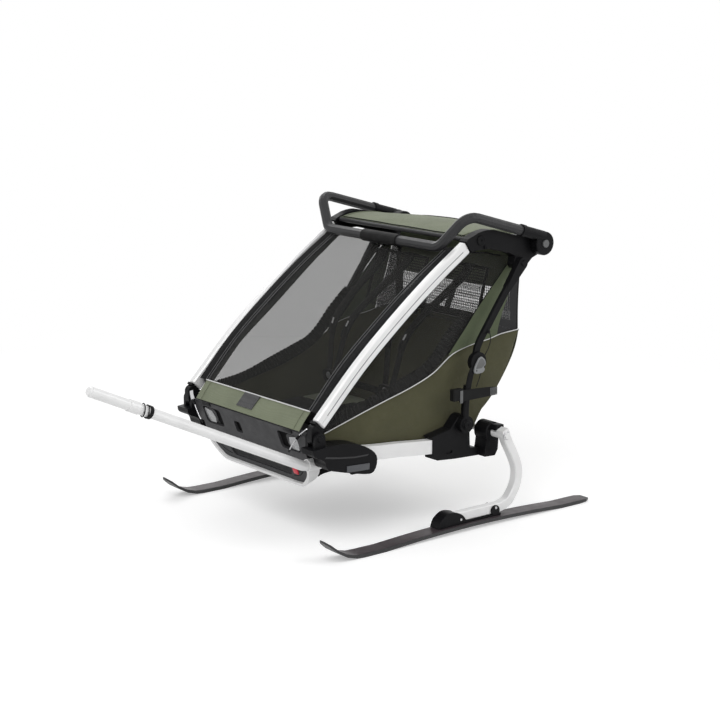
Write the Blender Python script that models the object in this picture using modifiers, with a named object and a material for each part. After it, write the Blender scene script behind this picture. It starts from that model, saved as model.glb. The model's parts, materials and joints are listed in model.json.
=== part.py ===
"""Two-seat child trailer on skis, with a folding frame, a swinging handlebar and a tow pole.

Metres, +Z up, forward is -Y and the trailer's left side is +X. Places are written as (y, z)
pairs measured from the line where the skis' front ends touch the snow.
"""
import math

import bmesh
import bpy
from mathutils import Matrix, Vector

OBJECT_NAME = "child_bike_trailer"

# Clearances
GAP = 0.0003           # between pieces that touch
PLAY = 0.0006          # between pieces that move past each other

# Planes across the trailer, as distances from its middle plane
ARCH_X = 0.335         # middle of an arch and of a side rail
ARCH_WIDE = 0.026
ARCH_DEEP = 0.042
UPRIGHT_THICK = 0.020
SIDE_STEP = 0.005      # from an arch's outer face to the uprights
POD_IN = 0.310
POD_OUT = 0.372
PANEL_X = POD_IN - GAP  # outer face of the fabric sides
FABRIC = 0.003
SKI_X = 0.435          # middle of a ski
ARM_X = 0.430          # middle of a ski arm

# Hinge points (y, z)
ARCH_PIVOT = Vector((-0.085, 0.354))
UPRIGHT_FOOT = Vector((0.481, 0.3145))
KNEE = Vector((0.5275, 0.510))
UPRIGHT_HEAD = Vector((0.7125, 0.806))
HUB = Vector((0.795, 0.863))
AXLE = Vector((0.585, 0.277))

# Arch centre line (y, z), from the knuckle up to the top beam
ARCH_LINE = [(-0.076, 0.392), (0.075, 0.545), (0.212, 0.663), (0.360, 0.778), (0.499, 0.873)]
ARCH_GROOVE = 0.003

# Knuckles at the arches' feet
KNUCKLE_R = 0.023
KNUCKLE_WIDE = 0.0228
EAR_R = 0.019
PIN_R = 0.005
PIN_HEAD_R = 0.010
PIN_HEAD = 0.004

# Side rails
RAIL_TALL = 0.044
RAIL_FRONT = 0.060
RAIL_REAR = 0.395
RAIL_LINE_Z = (0.283, 0.274, 0.268, 0.260, 0.254)

# Foot-well panel and the flat bar round it, both in one plane that leans forward
LEAN = math.atan(0.38)
BAR_BOTTOM = Vector((-0.040, 0.165))
BAR_THICK = 0.011
BAR_DEEP = 0.043
BAR_HALF = 0.268
BAR_RISE = 0.078
BAR_FLAT = 0.190
WELL_TOP = 0.207       # up the leaning plane, from the bar's lower edge
WELL_SHOULDER = 0.128
WELL_THICK = 0.018
WELL_SETBACK = 0.008
POCKET_DEEP = 0.009
REFLECTOR_X = 0.220
REFLECTOR = (0.056, 0.048)
REFLECTOR_PROUD = 0.002

# Tow pole
POLE_R = 0.0155
SOCKET_WALL = 0.003
SOCKET_R = POLE_R + PLAY + SOCKET_WALL
POLE_X = POD_IN - GAP - SOCKET_R
SOCKET_Z = 0.260
SOCKET_FRONT = -0.085
SOCKET_LONG = 0.056
PLUG_LONG = 0.042
SOCKET_END = 0.001
POLE_SLOPE = math.atan(0.462)
POLE_BEND_R = 0.045
POLE_BEND_AT = 0.012
POLE_LONG = 0.610
SPIGOT_R = 0.0120
SPIGOT_LONG = 0.045
OUTER_LONG = 0.174
END_PLUG = 0.008
END_PLUG_R = 0.0115
FERRULE_LONG = 0.034
STRAP_WIDE = 0.010

# Release button on the foot-well panel
BUTTON_SIZE = (0.030, 0.016, 0.012)
BUTTON_X = 0.199
BUTTON_UP = 0.072
BUTTON_OUT = 0.005
BUTTON_TRAVEL = 0.004

# Axle, hubs and skis
AXLE_R = 0.010
HUB_CYL_R = 0.033
HUB_CYL_IN = 0.325
HUB_CYL_OUT = 0.385
CASTING_IN = 0.312
WEDGE_DROP = 0.077      # from the axle down to the underside of the casting's rear lip
WEDGE_TALL = 0.024
ARM_SIZE = 0.030
ARM_BOSS_R = 0.014
FOOT_Z = 0.0455
FOOT_FRONT = 0.372
SKI_WIDE = 0.061
SKI_THICK = 0.011
SKI_REAR = 0.950
SKI_CAMBER = 0.012
SKI_MID = 0.450
SKI_FLAT = 0.080
SKI_TIP = Vector((-0.1385, 0.072))
BASE_WIDE = 0.042
BOLT_R = 0.011
BOLT_TALL = 0.007

# Uprights
LOWER_WIDE = 0.023
UPPER_WIDE = 0.023
KNEE_R = 0.032
KNEE_SPLIT = 0.0135    # from the uprights' inner face to the plane between the two halves
LAP_BELOW = 0.070      # how far the halves pass each other while they fold
LAP_ABOVE = 0.092
FOOT_R = 0.0275
HEAD_R = 0.0185
LATCH_THICK = 0.006
LATCH_HOLE = Vector((-0.0141, -0.0251))
LATCH_HOLE_R = 0.003
STRAP_AT = 4            # which point of the lower upright's line the rubber strap crosses
STRAP_BAND = 0.004
STRAP_BLOCK = (-0.064, -0.0225)

# Handlebar
BAR_R = 0.0165
BAR_X = 0.3732
BAR_SUNK = 0.040       # how far the tube goes into each neck
COLLAR = Vector((0.6955, 0.9132))
UPPER_BEND = Vector((0.473, 0.9765))
LOWER_BEND_X = 0.283
LOWER_BEND = Vector((0.434, 0.8718))
BEND_R = 0.045
GRIP_HALF = 0.090
GRIP_R = 0.0200
NECK_R = 0.0180
NECK_END = 0.022       # where the neck's axis passes over the hub's centre
RING_LONG = 0.016
RING_R = 0.0202
HUB_R = 0.038
HUB_FACE = 0.385
HUB_CORE_R = 0.012
HUB_BUTTON_R = 0.0125
HUB_BUTTON_OUT = 0.004

# Cabin fabric
FLOOR_Z = 0.262        # middle of the floor cloth under the seats
FLOOR_LINE = [(0.050, 0.232), (0.130, 0.256), (0.180, FLOOR_Z)]
FLOOR_REAR = 0.545
FLOOR_UP = 0.0245      # where the floor cloth meets the panel, up the leaning plane
REAR_LINE = [(0.762, 0.805), (0.753, 0.745), (0.751, 0.650), (0.754, 0.575), (0.731, 0.500),
             (0.667, 0.402), (0.620, 0.352), (0.560, 0.305), (0.548, 0.268)]
ROOF_CROWN = [(0.520, 0.905), (0.565, 0.913), (0.640, 0.917), (0.720, 0.911), (0.770, 0.903)]
ROOF_SIDE = [(0.520, 0.904), (0.565, 0.911), (0.640, 0.910), (0.720, 0.893), (0.770, 0.882)]
ROOF_TUBE_R = 0.0075
ROOF_TUBE_STEP = Vector((0.012, 0.0205))   # from the arches' upper ends to the roof's tube
HUB_TUBE_R = 0.010
WINDOW_LINE = [(-0.062, 0.421), (0.050, 0.543), (0.187, 0.661), (0.327, 0.768), (0.462, 0.858)]
WINDOW_HALF = 0.288
SKEW = 0.0005          # more room where two sheets meet at an angle
FILM = 0.002
BORDER_TOP = 0.016

# Seats and harnesses
SEAT_HALF = 0.140
SEAT_X = 0.148
SEAT_FRONT = 0.195
SEAT_REAR = 0.470
SEAT_TALL = 0.058
BACK_TOP = Vector((0.640, 0.790))
BACK_FOOT = Vector((0.492, FLOOR_Z + FABRIC / 2 + GAP + 0.0027))
BACK_THICK = 0.030
BUCKLE = Vector((0.341, 0.406))
BUCKLE_HALF = 0.032
STRAP_THICK = 0.002
HARNESS_WIDE = 0.025
HARNESS_SPREAD = 0.055


# Scene set-up
def clear_scene():
    for old in list(bpy.data.objects):
        bpy.data.objects.remove(old, do_unlink=True)


clear_scene()
parts = bpy.data.collections.new(OBJECT_NAME)
cutters = bpy.data.collections.new("cutters")
bpy.context.scene.collection.children.link(parts)
bpy.context.scene.collection.children.link(cutters)

POLE_REACH = POLE_LONG + PLAY + OUTER_LONG + END_PLUG
FRONT_END = (SOCKET_FRONT - POLE_BEND_AT - POLE_REACH * math.cos(POLE_SLOPE)
             - END_PLUG_R * math.sin(POLE_SLOPE))
SHIFT_Y = -(FRONT_END + SKI_REAR) / 2
pivots = {}


def add_pivot(name, yz, parent=None):
    """An empty on a joint's axis; every piece of that body hangs from it."""
    empty = bpy.data.objects.new(name, None)
    empty.empty_display_size = 0.05
    parts.objects.link(empty)
    home = Vector((0.0, yz[0], yz[1]))
    if parent is None:
        empty.location = home + Vector((0.0, SHIFT_Y, 0.0))
    else:
        empty.parent = pivots[parent][0]
        empty.location = home - pivots[parent][1]
    pivots[name] = (empty, home)


add_pivot("base_frame", (0.0, 0.0))
add_pivot("upper_frame", ARCH_PIVOT, "base_frame")
add_pivot("handlebar_axis", HUB, "upper_frame")
add_pivot("upright_head_axis", UPRIGHT_HEAD, "upper_frame")
add_pivot("upright_foot_axis", UPRIGHT_FOOT, "base_frame")
add_pivot("knee_axis", KNEE, "upright_foot_axis")


# Materials
def material(name, colour, roughness, metallic=0.0, alpha=1.0):
    made = bpy.data.materials.new(name)
    made.use_nodes = True
    shader = made.node_tree.nodes["Principled BSDF"]
    shader.inputs["Base Color"].default_value = (*colour, 1.0)
    shader.inputs["Roughness"].default_value = roughness
    shader.inputs["Metallic"].default_value = metallic
    shader.inputs["Alpha"].default_value = alpha
    made.diffuse_color = (*colour, alpha)
    return made


SILVER = (0.80, 0.80, 0.80)
BLACK = (0.017, 0.017, 0.019)
DARK = (0.05, 0.05, 0.052)
OLIVE = (0.070, 0.070, 0.034)
SAGE = (0.195, 0.215, 0.145)
GREY = (0.30, 0.31, 0.31)
FINISH = {
    "metal": (SILVER, 0.35, 0.9),
    "plastic": (BLACK, 0.5, 0.0),
    "panel": (DARK, 0.55, 0.0),
    "olive": (OLIVE, 0.85, 0.0),
    "sage": (SAGE, 0.85, 0.0),
    "grey": (GREY, 0.4, 0.0),
    "bar": (DARK, 0.45, 0.3),
    "ski": ((0.065, 0.048, 0.055), 0.3, 0.0),
    "red": ((0.60, 0.01, 0.03), 0.4, 0.0),
    "film": ((0.02, 0.02, 0.02), 0.15, 0.0),
    "cloth": ((0.03, 0.03, 0.032), 0.9, 0.0),
}


# Making and placing pieces
def keep(piece, name, finish, pivot="base_frame"):
    """Name a finished piece, give it its material and hang it from its pivot."""
    piece.name = name
    piece.data.name = name
    home = pivots[pivot][1]
    piece.data.transform(Matrix.Translation(-home))
    piece.parent = pivots[pivot][0]
    colour, roughness, metallic = FINISH[finish]
    piece.data.materials.clear()
    piece.data.materials.append(material(name, colour, roughness, metallic))
    for modifier in piece.modifiers:
        if modifier.type == "BOOLEAN":
            tool = modifier.object
            tool.data.transform(Matrix.Translation(-home))
            tool.parent = pivots[pivot][0]
    return piece


def from_bmesh(mesh_data):
    mesh = bpy.data.meshes.new("shape")
    mesh_data.to_mesh(mesh)
    mesh_data.free()
    made = bpy.data.objects.new("shape", mesh)
    parts.objects.link(made)
    return made


def from_curve(curve):
    """Make a curve a closed mesh, with its caps welded on."""
    holder = bpy.data.objects.new("curve", curve)
    parts.objects.link(holder)
    bpy.context.view_layer.update()
    graph = bpy.context.evaluated_depsgraph_get()
    mesh = bpy.data.meshes.new_from_object(holder.evaluated_get(graph))
    bpy.data.objects.remove(holder, do_unlink=True)
    shape = bmesh.new()
    shape.from_mesh(mesh)
    bmesh.ops.remove_doubles(shape, verts=shape.verts, dist=0.00002)
    bmesh.ops.recalc_face_normals(shape, faces=shape.faces)
    return from_bmesh(shape)


def plate(outline, thickness, edge=0.0, steps=1):
    """A flat closed outline in local XY, thickened evenly about z = 0, with rounded rims."""
    curve = bpy.data.curves.new("outline", "CURVE")
    curve.dimensions = "2D"
    curve.fill_mode = "BOTH"
    curve.extrude = thickness / 2
    spline = curve.splines.new("POLY")
    spline.points.add(len(outline) - 1)
    for point, (u, v) in zip(spline.points, outline):
        point.co = (u, v, 0.0, 1.0)
    spline.use_cyclic_u = True
    made = from_curve(curve)
    if edge:
        round_edges(made, edge, steps)
    return made


def round_edges(piece, width, steps=2, angle=40):
    bevel = piece.modifiers.new("rounded_edges", "BEVEL")
    bevel.width = width
    bevel.segments = steps
    bevel.limit_method = "ANGLE"
    bevel.angle_limit = math.radians(angle)
    bevel.use_clamp_overlap = True


SIDE_ON = Matrix(((0, 0, 1, 0), (1, 0, 0, 0), (0, 1, 0, 0), (0, 0, 0, 1)))


def side_plate(outline, x_low, x_high, edge=0.0, steps=1):
    """A plate whose outline is given as (y, z) and which runs from x_low to x_high."""
    made = plate(outline, x_high - x_low, edge, steps)
    made.data.transform(Matrix.Translation(((x_low + x_high) / 2, 0, 0)) @ SIDE_ON)
    return made


def cylinder(radius, start, end, sides=24, end_radius=None):
    """A round bar between two points."""
    start, end = Vector(start), Vector(end)
    span = end - start
    shape = bmesh.new()
    bmesh.ops.create_cone(shape, cap_ends=True, segments=sides, radius1=radius,
                          radius2=radius if end_radius is None else end_radius,
                          depth=span.length)
    turn = Vector((0, 0, 1)).rotation_difference(span.normalized()).to_matrix().to_4x4()
    bmesh.ops.transform(shape, matrix=Matrix.Translation((start + end) / 2) @ turn,
                        verts=shape.verts)
    return from_bmesh(shape)


def block(low, high, edge=0.0, steps=1):
    low, high = Vector(low), Vector(high)
    shape = bmesh.new()
    bmesh.ops.create_cube(shape, size=1.0)
    size = high - low
    bmesh.ops.scale(shape, vec=size, verts=shape.verts)
    bmesh.ops.translate(shape, vec=(low + high) / 2, verts=shape.verts)
    made = from_bmesh(shape)
    if edge:
        round_edges(made, edge, steps)
    return made


def tube(points, radius, resolution=3):
    """A round bar along a list of points, with flat ends."""
    curve = bpy.data.curves.new("path", "CURVE")
    curve.dimensions = "3D"
    curve.bevel_depth = radius
    curve.bevel_resolution = resolution
    curve.use_fill_caps = True
    spline = curve.splines.new("POLY")
    spline.points.add(len(points) - 1)
    for point, place in zip(spline.points, points):
        point.co = (*place, 1.0)
    return from_curve(curve)


def turned(profile, start, end, sides=24, ring=False):
    """A turned shape: profile holds (radius, distance along) pairs, run round the axis.

    A ring's profile closes on itself; any other begins and ends on the axis."""
    start, end = Vector(start), Vector(end)
    mesh = bpy.data.meshes.new("profile")
    edges = [(i, i + 1) for i in range(len(profile) - 1)]
    if ring:
        edges.append((len(profile) - 1, 0))
    mesh.from_pydata([(r, 0.0, -d) for r, d in profile], edges, [])
    made = bpy.data.objects.new("turned", mesh)
    parts.objects.link(made)
    screw = made.modifiers.new("turn", "SCREW")
    screw.angle = math.tau
    screw.steps = sides
    screw.render_steps = sides
    screw.use_merge_vertices = True
    screw.merge_threshold = 0.00005
    screw.use_smooth_shade = True
    turn = Vector((0, 0, -1)).rotation_difference((end - start).normalized())
    solid = solid_copy(made)
    bpy.data.objects.remove(made, do_unlink=True)
    solid.data.transform(Matrix.Translation(start) @ turn.to_matrix().to_4x4())
    return solid


def solid_copy(piece, mirror=False):
    """The piece as its modifiers leave it, as a new plain mesh."""
    bpy.context.view_layer.update()
    graph = bpy.context.evaluated_depsgraph_get()
    mesh = bpy.data.meshes.new_from_object(piece.evaluated_get(graph))
    if mirror:
        mesh.transform(Matrix.Scale(-1, 4, (1, 0, 0)))
        mesh.flip_normals()
    made = bpy.data.objects.new("copy", mesh)
    parts.objects.link(made)
    return made


def use_tool(piece, tool, operation):
    """Cut or join with another shape, which is kept hidden beside the parts."""
    parts.objects.unlink(tool)
    cutters.objects.link(tool)
    tool.name = "tool"
    tool.hide_render = True
    tool.display_type = "WIRE"
    modifier = piece.modifiers.new(operation.lower(), "BOOLEAN")
    modifier.operation = operation
    modifier.object = tool
    modifier.solver = "EXACT"
    return piece


def cut(piece, tool):
    return use_tool(piece, tool, "DIFFERENCE")


def join(piece, tool):
    return use_tool(piece, tool, "UNION")


def mirror_of(piece, name, finish, pivot="base_frame"):
    """The same piece for the other side; the left one must already be kept."""
    made = solid_copy(piece, mirror=True)
    home = pivots[pivot][1]
    made.data.transform(Matrix.Translation(home))
    return keep(made, name, finish, pivot)


def both_sides(piece, stem, finish, pivot="base_frame"):
    left = keep(piece, stem + "_left", finish, pivot)
    mirror_of(left, stem + "_right", finish, pivot)


def smooth_all(angle=35):
    for piece in parts.objects:
        if piece.type == "MESH":
            piece.data.shade_smooth()
            piece.data.set_sharp_from_angle(angle=math.radians(angle))


# Lines and outlines
def smooth_line(points, steps=6):
    """Points on a smooth curve through the given ones."""
    knots = [Vector(p) for p in points]
    knots = [2 * knots[0] - knots[1]] + knots + [2 * knots[-1] - knots[-2]]
    line = []
    for a, b, c, d in zip(knots, knots[1:], knots[2:], knots[3:]):
        for step in range(steps):
            t = step / steps
            line.append(0.5 * (2 * b + (c - a) * t + (2 * a - 5 * b + 4 * c - d) * t ** 2
                               + (3 * b - 3 * c + d - a) * t ** 3))
    line.append(knots[-2])
    return line


def across(line, index):
    """The unit vector square to a line at one of its points, to the line's left."""
    before = line[max(index - 1, 0)]
    after = line[min(index + 1, len(line) - 1)]
    along = (after - before).normalized()
    return Vector((-along.y, along.x))


def shifted(line, distance):
    """A line moved sideways to its left."""
    return [point + across(line, i) * distance for i, point in enumerate(line)]


def ribbon(line, width):
    """A closed outline of even width about a line."""
    return shifted(line, width / 2) + shifted(line, -width / 2)[::-1]


def arc(centre, radius, start, end, steps=8):
    """Points on an arc, angles in degrees from +y towards +z."""
    points = []
    for step in range(steps + 1):
        angle = math.radians(start + (end - start) * step / steps)
        points.append(Vector(centre) + radius * Vector((math.cos(angle), math.sin(angle))))
    return points


def disc(centre, radius, sides=18):
    return arc(centre, radius, 0, 360 - 360 / sides, sides - 1)


def round_corners(points, radius, steps=5):
    """A path of straight runs whose inner corners are turned into arcs."""
    points = [Vector(p) for p in points]
    path = [points[0]]
    for before, corner, after in zip(points, points[1:], points[2:]):
        back = (before - corner).normalized()
        ahead = (after - corner).normalized()
        half = back.angle(ahead) / 2
        reach = radius / math.tan(half)
        middle = corner + (back + ahead).normalized() * (radius / math.sin(half))
        first = corner + back * reach - middle
        last = corner + ahead * reach - middle
        for step in range(steps + 1):
            t = step / steps
            path.append(middle + first.normalized().slerp(last.normalized(), t) * radius)
    path.append(points[-1])
    return path


def hull_of_discs(a, ra, b, rb, steps=10):
    """The outline round two discs, such as a link with round ends."""
    a, b = Vector(a), Vector(b)
    along = math.degrees(math.atan2(b.y - a.y, b.x - a.x))
    lean = math.degrees(math.acos((ra - rb) / (b - a).length))
    return (arc(b, rb, along - lean, along + lean, steps)
            + arc(a, ra, along + lean, along + 360 - lean, steps))


def at(x, yz):
    return Vector((x, yz[0], yz[1]))


ARCH_IN = ARCH_X - ARCH_WIDE / 2
ARCH_OUT = ARCH_X + ARCH_WIDE / 2
BEAM_IN = ARCH_IN - 0.004
UPRIGHT_IN = ARCH_OUT + SIDE_STEP
UPRIGHT_OUT = UPRIGHT_IN + UPRIGHT_THICK
arch_curve = smooth_line(ARCH_LINE, 4)
roof_tube_spot = arch_curve[-1] + ROOF_TUBE_STEP
rail_curve = smooth_line([(RAIL_FRONT + (RAIL_REAR - RAIL_FRONT) * i / (len(RAIL_LINE_Z) - 1), z)
                          for i, z in enumerate(RAIL_LINE_Z)], 3)


# Front arches, their knuckles and the pods that carry them
def make_arches():
    arch = side_plate(ribbon(arch_curve, ARCH_DEEP), ARCH_IN, ARCH_OUT, 0.005)
    groove = side_plate(ribbon(arch_curve, ARCH_GROOVE), ARCH_OUT - 0.0015, ARCH_OUT + 0.01)
    cut(arch, groove)
    both_sides(arch, "front_arch", "metal", "upper_frame")

    foot = arch_curve[0]
    side = across(arch_curve, 0)
    down = Vector((-side.y, side.x))
    if down.dot(ARCH_PIVOT - foot) < 0:
        down = -down
    top = foot + down * GAP
    half = ARCH_DEEP / 2
    outline = hull_of_discs(ARCH_PIVOT, KNUCKLE_R, top + down * half * 0.9, half * 0.86)
    knuckle = side_plate(outline, ARCH_X - KNUCKLE_WIDE / 2, ARCH_X + KNUCKLE_WIDE / 2, 0.002, 1)
    collar = [top + side * half, top - side * half,
              top - side * half + down * 0.008, top + side * half + down * 0.008]
    join(knuckle, side_plate(collar, ARCH_IN + 0.0005, ARCH_OUT - 0.0005))
    cut(knuckle, cylinder(PIN_R + GAP, at(ARCH_IN - 0.02, ARCH_PIVOT),
                          at(ARCH_OUT + 0.02, ARCH_PIVOT), 16))
    both_sides(knuckle, "arch_knuckle", "plastic", "upper_frame")


def pod_outline():
    p = ARCH_PIVOT
    rail_low = rail_curve[3] - Vector((0, RAIL_TALL / 2))
    return smooth_line([p + Vector((-0.036, -0.029)), p + Vector((0.040, -0.023)),
                        p + Vector((0.095, -0.026)), p + Vector((0.140, -0.036)),
                        p + Vector((0.188, -0.062)), p + Vector((0.206, -0.090)),
                        Vector((p.x + 0.194, rail_low.y - 0.025)),
                        Vector((p.x + 0.155, rail_low.y - 0.028)),
                        p + Vector((0.040, -0.102)), p + Vector((0.016, -0.090)),
                        p + Vector((0.006, -0.066)), p + Vector((-0.030, -0.048)),
                        p + Vector((-0.036, -0.029))], 3)[:-1]


def ear(x_low, x_high):
    """One cheek of the fork that holds an arch's knuckle."""
    base_y = ARCH_PIVOT.x
    root = ARCH_PIVOT.y - 0.040
    outline = ([Vector((base_y + EAR_R, root)), Vector((base_y + EAR_R, ARCH_PIVOT.y))]
               + arc(ARCH_PIVOT, EAR_R, 15, 165, 8)
               + [Vector((base_y - EAR_R, ARCH_PIVOT.y)), Vector((base_y - EAR_R, root))])
    return side_plate(outline, x_low, x_high)


def make_pods():
    pod = side_plate(pod_outline(), POD_IN, POD_OUT, 0.006)
    inner = ARCH_X - KNUCKLE_WIDE / 2 - PLAY
    outer = ARCH_X + KNUCKLE_WIDE / 2 + PLAY
    join(pod, ear(POD_IN + 0.0001, inner))
    join(pod, ear(outer, outer + 0.012))
    cut(pod, cylinder(KNUCKLE_R + 0.002, at(inner, ARCH_PIVOT), at(outer, ARCH_PIVOT), 28))
    cut(pod, cylinder(PIN_R + GAP, at(POD_IN - 0.01, ARCH_PIVOT), at(POD_OUT, ARCH_PIVOT), 16))
    rail_room = smooth_line([(RAIL_FRONT - GAP, RAIL_LINE_Z[0])] + rail_curve[1:8:2]
                            + [rail_curve[8]], 2)
    cut(pod, side_plate(ribbon(rail_room, RAIL_TALL + 2 * GAP), ARCH_IN - GAP, ARCH_OUT + GAP))
    join(pod, side_plate(round_rect(ARCH_PIVOT.x + 0.139, ARCH_PIVOT.y - 0.111, 0.078, 0.024,
                                    0.008), POD_OUT - 0.002, POD_OUT + REFLECTOR_PROUD))
    both_sides(pod, "front_pod", "plastic")


def round_rect(cy, cz, wide, tall, radius, steps=3):
    """A rectangle with round corners about (cy, cz)."""
    dy, dz = wide / 2 - radius, tall / 2 - radius
    return (arc((cy + dy, cz + dz), radius, 0, 90, steps)
            + arc((cy - dy, cz + dz), radius, 90, 180, steps)
            + arc((cy - dy, cz - dz), radius, 180, 270, steps)
            + arc((cy + dy, cz - dz), radius, 270, 360, steps))


def make_arch_bolts():
    """The bolts through the forks that hold the arches' knuckles."""
    outer = ARCH_X + KNUCKLE_WIDE / 2 + PLAY + 0.012
    bolt = cylinder(PIN_R, at(POD_IN + 0.001, ARCH_PIVOT), at(outer + GAP, ARCH_PIVOT), 16)
    join(bolt, cylinder(PIN_HEAD_R, at(outer + GAP, ARCH_PIVOT),
                        at(outer + GAP + PIN_HEAD, ARCH_PIVOT), 20, PIN_HEAD_R - 0.002))
    both_sides(bolt, "arch_pivot_bolt", "plastic")


# Side rails, rear castings, axle and hubs
def make_rails():
    rail = side_plate(ribbon(rail_curve, RAIL_TALL), ARCH_IN, ARCH_OUT, 0.005)
    both_sides(rail, "side_rail", "metal")


def make_castings():
    f = UPRIGHT_FOOT
    low = AXLE.y - WEDGE_DROP
    rail_end = rail_curve[-1]
    front = RAIL_REAR - 0.036
    outline = ([Vector((front, rail_end.y - RAIL_TALL / 2 - 0.014)),
                Vector((front + 0.020, low + 0.010)), Vector((f.x - 0.030, low + 0.004)),
                Vector((AXLE.x - HUB_CYL_R - GAP, low)),
                Vector((AXLE.x - HUB_CYL_R - GAP, low + WEDGE_TALL)),
                Vector((f.x + FOOT_R + 0.006, low + 0.032)),
                Vector((f.x + FOOT_R + 0.002, f.y))]
               + arc(f, FOOT_R + 0.002, 20, 150, 7)
               + [Vector((f.x - 0.048, f.y - 0.010)), Vector((front - 0.008, f.y - 0.026)),
                  Vector((front, rail_end.y + RAIL_TALL / 2 + 0.004))])
    casting = side_plate(outline, CASTING_IN, UPRIGHT_IN - PLAY, 0.003, 1)
    room = smooth_line(rail_curve[-5:-1] + [rail_curve[-1] + Vector((GAP, -GAP / 10))], 1)
    cut(casting, side_plate(ribbon(room, RAIL_TALL + 2 * GAP), ARCH_IN - GAP, ARCH_OUT + GAP))
    join(casting, cylinder(PIN_R, at(UPRIGHT_IN - 0.01, f), at(UPRIGHT_OUT + PLAY + 0.002, f), 16))
    join(casting, cylinder(FOOT_R * 0.6, at(UPRIGHT_OUT + PLAY, f),
                           at(UPRIGHT_OUT + PLAY + PIN_HEAD, f), 20, FOOT_R * 0.5))
    slot = side_plate(round_rect(f.x - 0.056, low + 0.030, 0.030, 0.010, 0.0045),
                      UPRIGHT_IN - PLAY - 0.004, UPRIGHT_OUT)
    cut(casting, slot)
    both_sides(casting, "rear_casting", "plastic")


def make_axle():
    axle = cylinder(AXLE_R, at(-HUB_CYL_OUT, AXLE), at(HUB_CYL_OUT, AXLE), 20)
    keep(axle, "cross_axle", "metal")

    hub = cylinder(HUB_CYL_R, at(HUB_CYL_IN, AXLE), at(HUB_CYL_OUT, AXLE), 24)
    round_edges(hub, 0.003, 1, 60)
    front = AXLE.x - HUB_CYL_R
    low = AXLE.y - WEDGE_DROP
    skirt = [Vector((AXLE.x - 0.024, AXLE.y)), Vector((front + 0.002, low + WEDGE_TALL + 0.006)),
             Vector((front, low + WEDGE_TALL)), Vector((front, low)),
             Vector((AXLE.x + 0.010, low - 0.002)), Vector((AXLE.x + 0.022, low + 0.017)),
             Vector((AXLE.x + 0.026, AXLE.y))]
    join(hub, side_plate(skirt, HUB_CYL_IN + 0.004, HUB_CYL_OUT - 0.004))
    cut(hub, cylinder(AXLE_R + GAP, at(HUB_CYL_IN - 0.01, AXLE), at(HUB_CYL_OUT + 0.01, AXLE), 20))
    both_sides(hub, "axle_hub", "plastic")


# Ski arms, mounts and skis
def ski_top(y):
    """The ski's upper face: arched between two flat stretches that lie on the ground."""
    reach = SKI_MID - SKI_FLAT
    return SKI_THICK + SKI_CAMBER * max(0.0, 1 - ((y - SKI_MID) / reach) ** 2)


def make_ski_arms():
    foot_rear = AXLE.x - 0.022
    line = smooth_line([AXLE + Vector((-0.001, 0.008)), AXLE + Vector((0.012, -0.021)),
                        AXLE + Vector((0.039, -0.070)), AXLE + Vector((0.056, -0.110)),
                        AXLE + Vector((0.058, -0.145)), AXLE + Vector((0.047, -0.180)),
                        Vector((AXLE.x + 0.017, FOOT_Z + 0.013)), Vector((foot_rear, FOOT_Z))], 4)
    line.append(Vector((FOOT_FRONT, FOOT_Z)))
    arm = side_plate(ribbon(line, ARM_SIZE), ARM_X - ARM_SIZE / 2, ARM_X + ARM_SIZE / 2, 0.006)
    join(arm, cylinder(ARM_BOSS_R, at(HUB_CYL_OUT + GAP, AXLE), at(ARM_X, AXLE), 20))
    start = line[0]
    side = across(line, 0)
    out = Vector((side.y, -side.x))
    if out.dot(line[1] - start) > 0:
        out = -out
    half = ARM_SIZE / 2
    near = start - out * 0.004
    far = start + out * 0.012
    join(arm, side_plate([near + side * half, near - side * half,
                          far - side * half * 0.8, far + side * half * 0.8],
                         ARM_X - half + 0.0005, ARM_X + half - 0.0005))
    face = ARM_X + half
    join(arm, cylinder(BOLT_R, at(face - 0.002, AXLE), at(face + BOLT_TALL, AXLE), 6))
    both_sides(arm, "ski_arm", "metal")


def make_ski_mounts():
    rest_z = SKI_THICK + SKI_CAMBER + GAP
    tube_low = FOOT_Z - ARM_SIZE / 2 - GAP
    front = FOOT_FRONT - 0.072
    low = rest_z
    dome = smooth_line([(front, low), (front + 0.012, low + 0.026), (front + 0.040, low + 0.043),
                        (front + 0.070, low + 0.042), (front + 0.100, low + 0.028),
                        (front + 0.121, low)], 4)
    mount = side_plate(dome, ARM_X - BASE_WIDE / 2, ARM_X + BASE_WIDE / 2, 0.003)
    half = ARM_SIZE / 2 + GAP
    cut(mount, block((ARM_X - half, FOOT_FRONT - GAP, tube_low),
                     (ARM_X + half, FOOT_FRONT + 0.08, tube_low + 0.06)))
    end = AXLE.x - 0.024
    join(mount, block((ARM_X - BASE_WIDE / 2 + 0.001, FOOT_FRONT, rest_z),
                      (ARM_X + BASE_WIDE / 2 - 0.001, end, tube_low)))
    centre = Vector((AXLE.x - 0.047, FOOT_Z - 0.004))
    for low_x in (ARM_X - BASE_WIDE / 2, ARM_X + half):
        join(mount, side_plate(arc(centre, 0.017, -65, 245, 12), low_x,
                               low_x + BASE_WIDE / 2 - half))
    both_sides(mount, "ski_mount", "plastic")


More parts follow.
